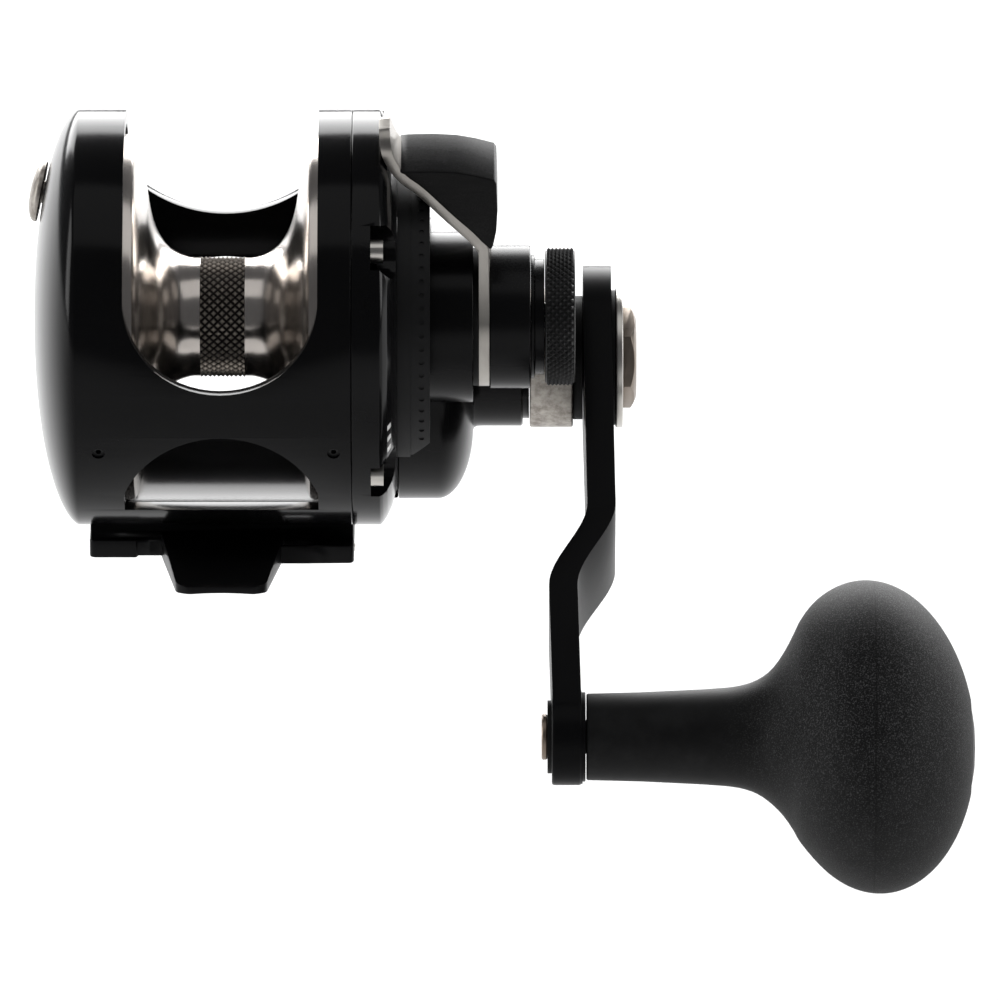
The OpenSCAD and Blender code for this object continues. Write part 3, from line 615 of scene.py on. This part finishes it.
class REEL_OT_frame(bpy.types.Operator):
    """Makes the one-piece frame with its openings and the clicker's slot"""
    bl_idname = "reel.frame"
    bl_label = "Frame"
    bl_options = {"REGISTER", "UNDO"}

    def execute(self, context):
        shape = context.scene.reel_shape
        outer = [(33 * math.sin(i * math.pi / 80), dome_x(33 * math.sin(i * math.pi / 80))) for i in range(41)]
        hollow = [(27 * math.sin(a), dome_x(27 * math.sin(a), 27, 4.2) - 0.2)
                  for a in [i * math.pi / 24 for i in range(12, 3, -1)]]
        profile = outer + [(33, 20.45), (32.85, 20.6), (30, 20.6), (30, 17.3), (30.6, 17.3), (30.6, -17.6),
                           (27, -17.6)] + hollow + [(8.6, -26.6), (8.6, -20.2), (6.5, -20.2), (6.5, -24.6), (0, -24.6)]
        body = turned(profile, 160)
        half = 15.3
        cuts = [
            cutter(arch(-2.7, 45, 15.4, half), -40, -4),
            cutter(arch(8.1, 45, 19.5, half), 4, 40),
            cutter([(-half, 12), (half, 12), (half, 45), (-half, 45)], -8, 8),
            cutter(arch(-10.3, -25.4, 16, half), -40, -8),
            cutter(arch(0.6, -24.6, 16, half), 8, 40),
        ]
        body = combined(body, cuts)
        soften(body, shape.lip / MM, 50, 3,
               keep=lambda p: abs(p.x) < 15.9 and (p.y ** 2 + p.z ** 2) ** 0.5 > 20)
        slot = prism([(-1, -1), (1, -1), (1, 1), (-1, 1)], -32, -22)
        place(slot, about_x(CLICK_TURN) @ Matrix.Translation((0, 17.8, 0)) @ Matrix.Diagonal((1, 8.1, 2.1, 1)))
        holes = []
        for x in (-19.2, 17.8):
            hole = ring(32, 36, 1.0, steps=24)
            place(hole, Matrix.Rotation(math.radians(203.5), 4, "X") @ Matrix.Translation((x, 0, 0))
                  @ Matrix.Rotation(math.radians(90), 4, "Z"))
            holes.append(hole)
        body = combined(body, [slot] + holes)
        place(body, Matrix.Translation(SPOOL_AXIS))
        finish_piece(body, "frame_body", "body", material("black_anodised"), ["frame"])
        return {"FINISHED"}


class REEL_OT_foot(bpy.types.Operator):
    """Makes the foot: wings under the frame and two toes that thin out"""
    bl_idname = "reel.foot"
    bl_label = "Foot"
    bl_options = {"REGISTER", "UNDO"}

    def execute(self, context):
        upright = Matrix(((0, 1, 0, 0), (0, 0, 1, 0), (1, 0, 0, 0), (0, 0, 0, 1)))
        left, right, front, rear_left, rear_right = -21.2, 20.8, 13.0, -11.0, -13.9
        wing = rounded([(left, rear_left), (0, rear_left), (0, rear_right), (right, rear_right), (right, front),
                        (left, front)], 1.1)
        wings = place(prism(wing, 0, 3), upright)
        notches = []
        for side in (-1, 1):
            for end in (-1, 1):
                slot = rounded([(-1.1, 0), (1.1, 0), (1.9, 2.2), (3.2, 6), (-3.2, 6), (-1.9, 2.2)], 0.9)
                slot = place(prism(slot, -1, 4), upright)
                place(slot, Matrix.Rotation(0 if end > 0 else math.pi, 4, "Z"))
                notches.append(place(slot, Matrix.Translation((side * 11.4, end * 7.6, 0))))
        wings = combined(wings, notches)
        soften(wings, 0.55, 60, 3)
        side = [(-10.7, 0.2), (-10.7, 2.7), (-9.9, 3.1), (-9.2, 3.7), (-8.8, 4.95)]
        saddle = prism(side + [(-y, z) for y, z in reversed(side)], -21.1, 20.7)
        soften(saddle, 0.3, 60, 2)
        toes = []
        for end in (-1, 1):
            tip = place(prism([(0, 0), (end * 29.9, 0), (end * 30, 0.15), (end * 30, 1.15), (end * 29.85, 1.3),
                               (end * 12.5, 3.7), (0, 3.7)], -12, 12), Matrix.Identity(4))
            plan = rounded([(-10.4, 0), (10.4, 0), (10.4, end * 6), (7.15, end * 28.4), (5.15, end * 30.02),
                            (-5.15, end * 30.02), (-7.15, end * 28.4), (-10.4, end * 6)], 0.9)
            plan = place(prism(plan, -1, 5), upright)
            toe = combined(tip, [plan], "INTERSECT")
            soften(toe, 0.3, 35, 2, keep=lambda p: abs(p.y) > 8)
            toes.append(toe)
        foot = combined(wings, [saddle] + toes, "UNION")
        hollow = [place(ring(-7.5, 7.5, 60, 0, 0.01, 240), Matrix.Translation((0, 24 * end, -59.6))
                        @ Matrix.Rotation(math.radians(90), 4, "Z")) for end in (-1, 1)]
        holes = [place(ring(-1, part[0], part[1], 0, 0.01, 40), Matrix.Translation((x, y, 0))
                       @ Matrix.Rotation(math.radians(-90), 4, "Y"))
                 for x in (-18.3, 18.3) for y in (-7, 7) for part in ((12, 1.55), (0.9, 2.8))]
        cradle = place(ring(-40, 40, 33.02, 0, 0.01, 240), Matrix.Translation(SPOOL_AXIS))
        foot = combined(foot, [cradle] + hollow + holes)
        finish_piece(foot, "foot_saddle", "body", material("foot_black"), ["foot"])
        return {"FINISHED"}


class REEL_OT_side_plate(bpy.types.Operator):
    """Makes the handle-side plate with its screw pockets"""
    bl_idname = "reel.side_plate"
    bl_label = "Side plate"
    bl_options = {"REGISTER", "UNDO"}

    def execute(self, context):
        profile = soft_corners([(0, 26.1), (7, 26.1), (7, 22.2), (8.4, 22.2), (8.4, 24.6), (27.2, 24.6), (27.2, 20.6),
                                (32.85, 20.6), (33, 20.75), (33, 25), (32.5, 25.5), (31.4, 26.2), (29.8, 26.9),
                                (28, 27.4), (25.6, 27.7), (5.7, 27.7), (5.7, 26.9), (0, 26.9)], 0.12, 2)
        profile = [p for p in profile]
        plate = turned([(5.7, 26.1)] + [p for p in profile if p[0] >= 5.7 and p not in ((0, 26.1), (0, 26.9))], 160)
        lobe = ring(25.3, 27.68, 22.5, 0, 0.4)
        offset = HANDLE_AXIS - SPOOL_AXIS
        place(lobe, Matrix.Translation(offset))
        plate = combined(plate, [lobe], "UNION")
        cuts = []
        for i in range(5):
            turn = math.radians(71.5 + 72 * i)
            pocket = ring(23.6, 30, 4.2, 0, 0.01, 40)
            place(pocket, about_x(turn) @ Matrix.Translation((0, 30.8, 0)))
            cuts.append(pocket)
        hole = ring(22, 30, 5.7, 0, 0.01, 48)
        shaft_hole = place(ring(20, 30, 3.8, 0, 0.01, 40), Matrix.Translation(offset))
        plate = combined(plate, cuts + [hole, shaft_hole])
        soften(plate, 0.22, 45, 2, keep=lambda p: (p.y ** 2 + p.z ** 2) ** 0.5 > 26 and p.x > 22)
        place(plate, Matrix.Translation(SPOOL_AXIS))
        finish_piece(plate, "side_plate_shell", "body", material("plate_finish"), ["side_plate"])
        return {"FINISHED"}


def cover_radius(x):
    return 10.8 + 11.7 * math.sqrt(max(0.0, 1 - ((max(x, 34) - 34) / 5.7) ** 2))


class REEL_OT_gear_cover(bpy.types.Operator):
    """Makes the gear cover: dome, boss and bearing tower"""
    bl_idname = "reel.gear_cover"
    bl_label = "Gear cover"
    bl_options = {"REGISTER", "UNDO"}

    def execute(self, context):
        dome = [(cover_radius(34 + 5.7 * math.sin(i * math.pi / 36)), 34 + 5.7 * math.sin(i * math.pi / 36))
                for i in range(19)]
        outline = [(0, 27.75), (22.35, 27.75), (22.5, 27.9)] + dome[:-1] + [
            (11.6, 39.66), (11.15, 39.85), (10.95, 40.3), (10.9, 41), (10.9, 47.3), (10.6, 47.6), (9.7, 47.6),
            (9.7, 48.6), (4.2, 48.6), (4.2, 42), (0, 42)]
        cover = turned(outline, 144)
        offset = HANDLE_AXIS - SPOOL_AXIS
        place(cover, Matrix.Translation(offset))
        trim = cutter([(33, 13.55), (39.75, 13.55), (39.75, 60), (33, 60)], -60, 60)
        place(trim, Matrix.Rotation(math.radians(-18), 4, "X"))
        cover = combined(cover, [trim])
        boss = ring(27.76, 39.7, 13.55, 0, 0.2)
        cover = combined(cover, [boss], "UNION")
        inner = [place(ring(20, 33.2, 19.5, 0, 0.01, 96), Matrix.Translation(offset)), ring(20, 33.2, 6.2, 0, 0.01, 48),
                 ring(32, 44, 5.2, 0, 0.01, 48)]
        cover = combined(cover, inner)
        soften(cover, 0.35, 50, 2, keep=lambda p: p.x > 34)
        place(cover, Matrix.Translation(SPOOL_AXIS))
        finish_piece(cover, "gear_cover_shell", "body", material("cover_black"), ["gear_cover"])
        return {"FINISHED"}


# ------------------------------------------------------------------ spool and clicker

def bezier(p, t):
    a, b, c, d = [Vector(q) for q in p]
    return a * (1 - t) ** 3 + b * 3 * t * (1 - t) ** 2 + c * 3 * t * t * (1 - t) + d * t ** 3


class REEL_OT_spool(bpy.types.Operator):
    """Makes the line spool, its knurled band and the clicker's button"""
    bl_idname = "reel.spool"
    bl_label = "Spool"
    bl_options = {"REGISTER", "UNDO"}

    def execute(self, context):
        shape = context.scene.reel_shape
        bowl = [tuple(bezier([(9.4, 4.6), (10.0, 8.6), (12.5, 10.7), (18.5, 11.75)], i / 24)) for i in range(25)]
        side = bowl + [(24.4, 12.6), (28.3, 13.6), (28.8, 13.9), (29, 14.4), (29, 16.7), (28.7, 17)]
        mirrored = [(r, -x) for r, x in reversed(side)]
        band = [(9.4, -3.55), (8.75, -3.5), (8.75, 3.5), (9.4, 3.55)]
        left = [(26, -17), (26, -14.6), (12, -14.6), (12, -17), (6.5, -17), (6.5, -10.9), (3.6, -10.9)]
        right = [(3.6, 10.9), (6.5, 10.9), (6.5, 14.3), (26, 14.3), (26, 17)]
        loop = left[::-1] + mirrored + band + side + right[::-1]
        body = turned(loop, 160)
        place(body, Matrix.Translation(SPOOL_AXIS))
        finish_piece(body, "line_spool_turned", "line_spool", material("turned_aluminium"), ["spool"],
                     sharp=28)
        knurl = knurled_ring(9.55, -3.5, 3.5, 8.7, 1.3 * shape.knurl_pitch / MM, 0.55)
        place(knurl, Matrix.Translation(SPOOL_AXIS))
        finish_piece(knurl, "arbor_knurl", "line_spool", material("knurled_metal"), ["arbor_band"],
                     sharp=12)
        crown = [(4.85 * math.cos(i * math.pi / 32), -0.75 - 1.45 * math.sin(i * math.pi / 32)) for i in range(16)]
        button = turned([(0, 8.1), (1.8, 8.1), (1.8, -0.3), (4.7, -0.3), (4.85, -0.45)] + crown + [(0, -2.2)], 72)
        seat = about_x(CLICK_TURN, SPOOL_AXIS) @ Matrix.Translation((dome_x(19.8), 19.8, 0)) \
            @ Matrix.Rotation(math.radians(-11.3), 4, "Z")
        place(button, seat)
        finish_piece(button, "clicker_button", "clicker", material("blasted_steel"), ["click_button"])
        return {"FINISHED"}


# ------------------------------------------------------------------ drag lever

LEVER_PATH = [(41.45, 11.5), (41.45, 14.2), (41.05, 16.3), (39.3, 18.75), (36.1, 22.1), (31.3, 27.4), (28.7, 29.7),
              (27.1, 31.9), (26.15, 34.2), (25.75, 36.9)]


def smooth_path(points, steps=6):
    """A curve through the points."""
    out = []
    padded = [points[0]] + list(points) + [points[-1]]
    for a, b, c, d in zip(padded, padded[1:], padded[2:], padded[3:]):
        a, b, c, d = Vector(a), Vector(b), Vector(c), Vector(d)
        for i in range(steps):
            t = i / steps
            out.append(0.5 * ((2 * b) + (c - a) * t + (2 * a - 5 * b + 4 * c - d) * t * t
                              + (3 * b - a - 3 * c + d) * t ** 3))
    out.append(Vector(points[-1]))
    return out


class REEL_OT_drag_lever(bpy.types.Operator):
    """Makes the bent drag lever and its thumb pad"""
    bl_idname = "reel.drag_lever"
    bl_label = "Drag lever"
    bl_options = {"REGISTER", "UNDO"}

    def execute(self, context):
        width, thick = 9.0, 1.7
        path = smooth_path(LEVER_PATH)
        bm = bmesh.new()
        line = [bm.verts.new((p.x, p.y, -width / 2)) for p in path]
        edges = [bm.edges.new(pair) for pair in zip(line, line[1:])]
        across = 10
        for i in range(across):
            grown = bmesh.ops.extrude_edge_only(bm, edges=edges)["geom"]
            edges = [g for g in grown if isinstance(g, bmesh.types.BMEdge) and abs(g.verts[0].co.z - g.verts[1].co.z) < 1e-6]
            moved = [g for g in grown if isinstance(g, bmesh.types.BMVert)]
            bmesh.ops.translate(bm, verts=moved, vec=(0, 0, width / across))
        for v in bm.verts:
            # Round free end
            past = max(0.0, v.co.y - 33.4)
            if past > 0:
                v.co.z *= math.sqrt(max(0.12, 1 - (past / 3.75) ** 2))
        bmesh.ops.recalc_face_normals(bm, faces=bm.faces)
        middle_face = min(bm.faces, key=lambda f: (f.calc_center_median() - Vector((31.3, 27.4, 0))).length)
        if middle_face.normal.x < 0:
            bmesh.ops.reverse_faces(bm, faces=bm.faces)
        bmesh.ops.translate(bm, verts=bm.verts, vec=(0, 0, 0))
        bmesh.ops.solidify(bm, geom=bm.faces[:], thickness=thick)
        bmesh.ops.recalc_face_normals(bm, faces=bm.faces)
        low = min(v.co.x for v in bm.verts if v.co.y < 12)
        bmesh.ops.translate(bm, verts=bm.verts, vec=(40.6 - low, 0, 0))
        place(bm, about_x(LEVER_TURN))
        # The strip spreads into the hub along tangents to its rim
        spread = prism([(4.9, -9.8), (16.2, -4.42), (16.2, 4.42), (4.9, 9.8)], 40.62, 42.28)
        place(spread, about_x(LEVER_TURN))
        strip = combined(bm, [ring(40.6, 42.3, 11.0, 4.2, 0.05), spread], "UNION")
        soften(strip, 0.28, 50, 2)
        place(strip, Matrix.Translation(SPOOL_AXIS))
        finish_piece(strip, "lever_strip", "drag_lever", material("brushed_strip"), ["lever"])

        outer = [p + Vector((0.6, 0.62)) for p in path if 17.3 < p.y < 30.4]
        outline = [tuple(p) for p in outer] + [(28.1, 31.15), (29.5, 31.3), (33.4, 31.4), (37, 31.2), (40, 30.6),
                                               (43.0, 29.7), (43.4, 29), (43.6, 24), (43.4, 20), (42.9, 17.2),
                                               (42.5, 16.4)]
        pad = bmesh.new()
        face = pad.faces.new([pad.verts.new((x, r, -5.5)) for x, r in outline])
        grown = bmesh.ops.extrude_face_region(pad, geom=[face])
        moved = [g for g in grown["geom"] if isinstance(g, bmesh.types.BMVert)]
        bmesh.ops.translate(pad, verts=moved, vec=(0, 0, 11))
        bmesh.ops.recalc_face_normals(pad, faces=pad.faces)
        soften(pad, 1.0, 45, 4)
        place(pad, about_x(LEVER_TURN, SPOOL_AXIS))
        finish_piece(pad, "thumb_pad", "drag_lever", material("pad_plastic"), ["lever_pad"])
        return {"FINISHED"}


class REEL_OT_lever_stack(bpy.types.Operator):
    """Makes the collar, the washer and the preset knob on the spool axis"""
    bl_idname = "reel.lever_stack"
    bl_label = "Collar and preset knob"
    bl_options = {"REGISTER", "UNDO"}

    def execute(self, context):
        shape = context.scene.reel_shape
        spots = [
            ("lever_collar_turned", ring(42.31, 48.8, 11.35, 2.6, 0.3), "drag_lever", "black_anodised",
             "collar_black", "lever_collar"),
            ("lever_washer_ring", ring(39.72, 40.58, 10.95, 5.3, 0.05), "body", "black_washer", "dull_washer",
             "lever_washer"),
        ]
        neck = turned(soft_corners([(2.6, 50), (2.6, 48.85), (9.8, 48.85), (9.8, 49.4), (9.2, 49.5), (9.2, 51),
                                    (2.6, 51), (2.6, 50)], 0.12)[:-1])
        spots.append(("preset_neck_turned", neck, "preset", "black_anodised", "collar_black", "preset_neck"))
        for name, bm, body, slot, finish, node in spots:
            place(bm, Matrix.Translation(SPOOL_AXIS))
            finish_piece(bm, name, body, material(finish), [node])
        knurl = knurled_ring(10.95, 51.4, 55.6, 9.6, 1.15 * shape.knurl_pitch / MM, 0.5)
        core = turned(soft_corners([(0, 52.9), (2.5, 52.9), (2.5, 51.1), (10.5, 51.1), (10.5, 55.85), (6, 55.9),
                                    (0, 55.9)], 0.3))
        knob = combined(core, [knurl], "UNION")
        place(knob, Matrix.Translation(SPOOL_AXIS))
        finish_piece(knob, "preset_knob_knurled", "preset", material("knurl_black"), ["preset_knob"],
                     sharp=12)
        return {"FINISHED"}


# ------------------------------------------------------------------ handle

def arm_shift(along):
    """How far the arm's middle stands out along X at a distance from the handle axis."""
    t = min(1.0, max(0.0, (along - 43.7 + 8) / 16))
    return 57.2 + 2.25 + 0.025 * max(0.0, along - 12) - 6.5 * t * t * (3 - 2 * t)


class REEL_OT_handle(bpy.types.Operator):
    """Makes the cranked arm with its collar, washers and nut"""
    bl_idname = "reel.handle"
    bl_label = "Handle arm"
    bl_options = {"REGISTER", "UNDO"}

    def execute(self, context):
        def tangent(x0, r0, x1, r1):
            lean = math.asin((r0 - r1) / (x1 - x0))
            return lean
        hub, waist, tip, waist_at = 14.7, 9.1, 7.4, 36.0
        lean0 = tangent(0, hub, waist_at, waist)
        lean1 = tangent(waist_at, waist, ARM_LENGTH, tip)
        top = []
        for i in range(25):
            a = math.pi - (math.pi / 2 + lean0) * i / 24
            top.append((hub * math.cos(a), hub * math.sin(a)))
        for i in range(5):
            a = math.pi / 2 - lean0 + (lean0 - lean1) * i / 4
            top.append((waist_at + waist * math.cos(a), waist * math.sin(a)))
        for i in range(19):
            a = (math.pi / 2 - lean1) * (1 - i / 18)
            top.append((ARM_LENGTH + tip * math.cos(a), tip * math.sin(a)))
        outline = top + [(y, -z) for y, z in reversed(top[1:-1])]
        plate = prism(outline, -2.25, 2.25)
        for i in range(27):
            bmesh.ops.bisect_plane(plate, geom=plate.verts[:] + plate.edges[:] + plate.faces[:], dist=1e-4,
                                   plane_co=(0, 33 + i * 0.8, 0), plane_no=(0, 1, 0))
        for v in plate.verts:
            v.co.x += arm_shift(v.co.y)
        boss = place(ring(52.1, 56.8, 7.6, 0, 0.5, 96), Matrix.Translation((0, ARM_LENGTH, 0)))
        flange = place(ring(56.5, 57.4, 7.05, 0, 0.15, 96), Matrix.Translation((0, ARM_LENGTH, 0)))
        arm = combined(plate, [boss, flange], "UNION")
        holes = [ring(40, 70, 3.5, 0, 0.01, 48),
                 place(ring(40, 70, 2.5, 0, 0.01, 48), Matrix.Translation((0, ARM_LENGTH, 0)))]
        arm = combined(arm, holes)
        soften(arm, 0.45, 50, 3)
        place(arm, about_x(ARM_TURN, HANDLE_AXIS))
        finish_piece(arm, "crank_arm", "crank", material("arm_black"), ["arm"])

        stack = [
            ("handle_collar_turned", ring(48.7, 55.63, 11.1, 3.5, 0.4), "blasted_steel", "blasted_steel",
             "handle_collar"),
            ("inner_washer_ring", ring(55.65, 57.18, 9.9, 3.5, 0.15), "black_washer", "dull_washer", "inner_washer"),
            ("outer_washer_ring", ring(61.72, 62.4, 10.8, 3.5, 0.12), "black_washer", "dull_washer", "outer_washer"),
            ("lock_washer_ring", ring(62.42, 63.6, 11.2, 3.5, 0.3), "satin_steel", "bright_steel", "lock_washer"),
        ]
        for name, bm, slot, finish, node in stack:
            place(bm, Matrix.Translation(HANDLE_AXIS))
            finish_piece(bm, name, "crank", material(finish), [node])
        corner = 7 / math.cos(math.radians(30))
        hexagon = [(corner * math.cos(a), corner * math.sin(a)) for a in [math.radians(18 + 60 * i) for i in range(6)]]
        nut = prism(hexagon, 63.62, 65.9)
        crown = turned([(0, 63), (9, 63), (9, 64.75), (8.1, 64.8), (7.2, 65.35), (6.4, 65.7), (5.8, 65.8), (0, 65.82)],
                       96)
        nut = combined(nut, [crown], "INTERSECT")
        soften(nut, 0.18, 40, 2)
        place(nut, Matrix.Translation(HANDLE_AXIS))
        finish_piece(nut, "handle_nut_hex", "crank", material("nut_steel"), ["handle_nut"])
        return {"FINISHED"}


class REEL_OT_knob(bpy.types.Operator):
    """Makes the round grip and its end cap"""
    bl_idname = "reel.knob"
    bl_label = "Knob"
    bl_options = {"REGISTER", "UNDO"}

    def execute(self, context):
        shape = context.scene.reel_shape
        centre_x, half, big = 102.6, 16.2, 24.6
        start = -math.asin((centre_x - 90.9) / half)
        end = math.radians(72)
        flow = [(7.65, 78.1), (8, 84), (9.1, 87.1), (17, 90.9)]
        outline = [(4.7, 57.55), (6.65, 57.55), (6.82, 57.8), (6.87, 60), (7.02, 66), (7.3, 72), (7.5, 76)]
        outline += [tuple(bezier(flow, i / 14)) for i in range(14)]
        steps = 46
        outline += [(big * math.cos(start + (end - start) * i / steps),
                     centre_x + half * math.sin(start + (end - start) * i / steps)) for i in range(steps + 1)]
        last = outline[-1]
        outline += [(last[0] - 0.35, last[1] + 0.02), (6.75, last[1] - 0.1), (6.6, last[1] - 0.45), (6.6, 108.7),
                    (4.7, 105.9)]
        grip = turned(outline, 160)
        lean = math.tan(shape.ball_tilt)
        up = Vector((0, math.sin(VIEW_TILT), math.cos(VIEW_TILT)))

        def tilt(bm):
            for v in bm.verts:
                out = v.co.x
                ramp = min(1.0, max(0.0, (out - 86) / 8))
                reach = min(1.0, Vector((0, v.co.y, v.co.z)).length / 7.6)
                v.co -= up * lean * (out - centre_x) * ramp * ramp * (3 - 2 * ramp) * (reach if out < 110 else 1)
            return bm

        place(tilt(grip), Matrix.Translation(KNOB_AXIS))
        finish_piece(grip, "knob_grip", "grip", material("grip_rubber"), ["knob"])
        cap = turned(soft_corners([(0, 115.6), (6.45, 115.6), (6.45, 117.8), (6.0, 118.15), (3.4, 118.55), (0, 118.7)],
                                  0.3), 72)
        place(tilt(cap), Matrix.Translation(KNOB_AXIS))
        finish_piece(cap, "knob_end_cap", "grip", material("black_moulded"), ["knob_cap"])
        return {"FINISHED"}


# ------------------------------------------------------------------ nodes that keep their CAD shape

KEPT = {
    "black_moulded": ["drain_plugs", "quadrant"],
    "bright_steel": ["side_plate_screws", "gear_cover_screws", "foot_screws"],
    "pin_steel": ["knob_spindle"],
    "dull_washer": ["spindle_washer"],
    "shaft_steel": ["spool_bearings", "spool_shaft", "shaft_bearings", "drag_disc", "pinion_bearing",
                    "belleville_washers", "click_pawl", "lever_cam", "detent_plunger", "gear_shaft", "ratchet_wheel",
                    "dog_front", "dog_rear", "dog_pins", "gear_shaft_bearings"],
    "carbon_washer": ["drag_washer"],
    "cut_brass": ["pinion", "click_gear", "main_gear", "knob_bushes"],
}


class REEL_OT_finishes(bpy.types.Operator):
    """Gives every node that keeps its CAD shape its own finish"""
    bl_idname = "reel.finishes"
    bl_label = "Finishes"
    bl_options = {"REGISTER", "UNDO"}

    def execute(self, context):
        for finish, nodes in KEPT.items():
            for node in nodes:
                data = NODES[node].data
                data.materials.clear()
                data.materials.append(material(finish))
        return {"FINISHED"}


# ------------------------------------------------------------------ stage

def area_light(name, place_at, aim, size, power, colour=(1, 1, 1)):
    lamp = bpy.data.lights.new(name, "AREA")
    lamp.shape = "RECTANGLE"
    lamp.size, lamp.size_y = size
    lamp.energy = power
    lamp.color = colour
    holder = bpy.data.objects.new(name, lamp)
    holder.location = place_at
    holder.rotation_euler = (Vector(aim) - Vector(place_at)).to_track_quat("-Z", "Y").to_euler()
    bpy.context.scene.collection.objects.link(holder)
    return holder


class REEL_OT_stage(bpy.types.Operator):
    """Makes the pale floor, the soft lights and the camera"""
    bl_idname = "reel.stage"
    bl_label = "Stage"

    def execute(self, context):
        stage = context.scene.reel_stage
        bm = bmesh.new()
        bmesh.ops.create_grid(bm, x_segments=2, y_segments=2, size=5.0)
        bmesh.ops.translate(bm, verts=bm.verts, vec=(0, 0, -0.075))
        floor = as_object(bm, "floor")
        s = Shade("floor_paper")
        fibre = s.noise(0.02, 3.0)
        tone = tuple(stage.floor_colour)
        floor.data.materials.append(s.surface(Base_Color=s.mix(fibre, tone, tuple(c * 0.98 for c in tone)),
                                              Roughness=0.9, Specular_IOR_Level=0.1))

        world = bpy.data.worlds.new("studio")
        world.use_nodes = True
        sky = world.node_tree.nodes["Background"]
        sky.inputs["Color"].default_value = (0.95, 0.96, 1.0, 1)
        sky.inputs["Strength"].default_value = 0.12
        context.scene.world = world
        area_light("back_wall", (0.05, 1.7, 0.75), (0.03, 0, 0.02), (2.8, 1.2), 84)
        area_light("overhead", (0.0, -0.5, 2.0), (0.03, 0, 0), (3.0, 1.4), 9)
        area_light("left_card", (-1.4, 0.1, 0.45), (0.0, 0, 0.03), (0.5, 0.9), 7)
        area_light("right_card", (1.5, 0.1, 0.5), (0.05, 0, 0.0), (0.5, 0.9), 7)

        target = Vector((43.96, -8.99, 9.02)) * MM
        lens = bpy.data.cameras.new("camera")
        lens.sensor_width = 36
        lens.lens = 576
        lens.clip_end = 50
        holder = bpy.data.objects.new("camera", lens)
        away = Vector((0, -math.cos(stage.camera_tilt), math.sin(stage.camera_tilt)))
        holder.location = target + away * stage.camera_distance
        holder.rotation_euler = (-away).to_track_quat("-Z", "Y").to_euler()
        context.scene.collection.objects.link(holder)
        context.scene.camera = holder
        context.scene.view_settings.view_transform = "Standard"
        return {"FINISHED"}


class REEL_PT_panel(bpy.types.Panel):
    """Lists the reel's pieces in the sidebar"""
    bl_label = "Trolling reel"
    bl_space_type = "VIEW_3D"
    bl_region_type = "UI"
    bl_category = "Reel"

    def draw(self, context):
        layout = self.layout
        for name in ("lip", "knurl_pitch", "ball_tilt"):
            layout.prop(context.scene.reel_shape, name)
        for name in ("floor_colour", "camera_distance", "camera_tilt"):
            layout.prop(context.scene.reel_stage, name)
        for step in STEPS:
            layout.operator(step.bl_idname)


STEPS = (REEL_OT_stage, REEL_OT_frame, REEL_OT_foot, REEL_OT_side_plate, REEL_OT_gear_cover, REEL_OT_spool, REEL_OT_drag_lever,
         REEL_OT_lever_stack, REEL_OT_handle, REEL_OT_knob, REEL_OT_finishes)
CLASSES = (ReelShape, ReelStage) + STEPS + (REEL_PT_panel,)


def register():
    for item in CLASSES:
        bpy.utils.register_class(item)
    bpy.types.Scene.reel_shape = bpy.props.PointerProperty(type=ReelShape)
    bpy.types.Scene.reel_stage = bpy.props.PointerProperty(type=ReelStage)


def unregister():
    del bpy.types.Scene.reel_stage
    del bpy.types.Scene.reel_shape
    for item in reversed(CLASSES):
        bpy.utils.unregister_class(item)


def main():
    register()
    for step in STEPS:
        group, name = step.bl_idname.split(".")
        getattr(getattr(bpy.ops, group), name)()


if __name__ == "__main__":
    main()
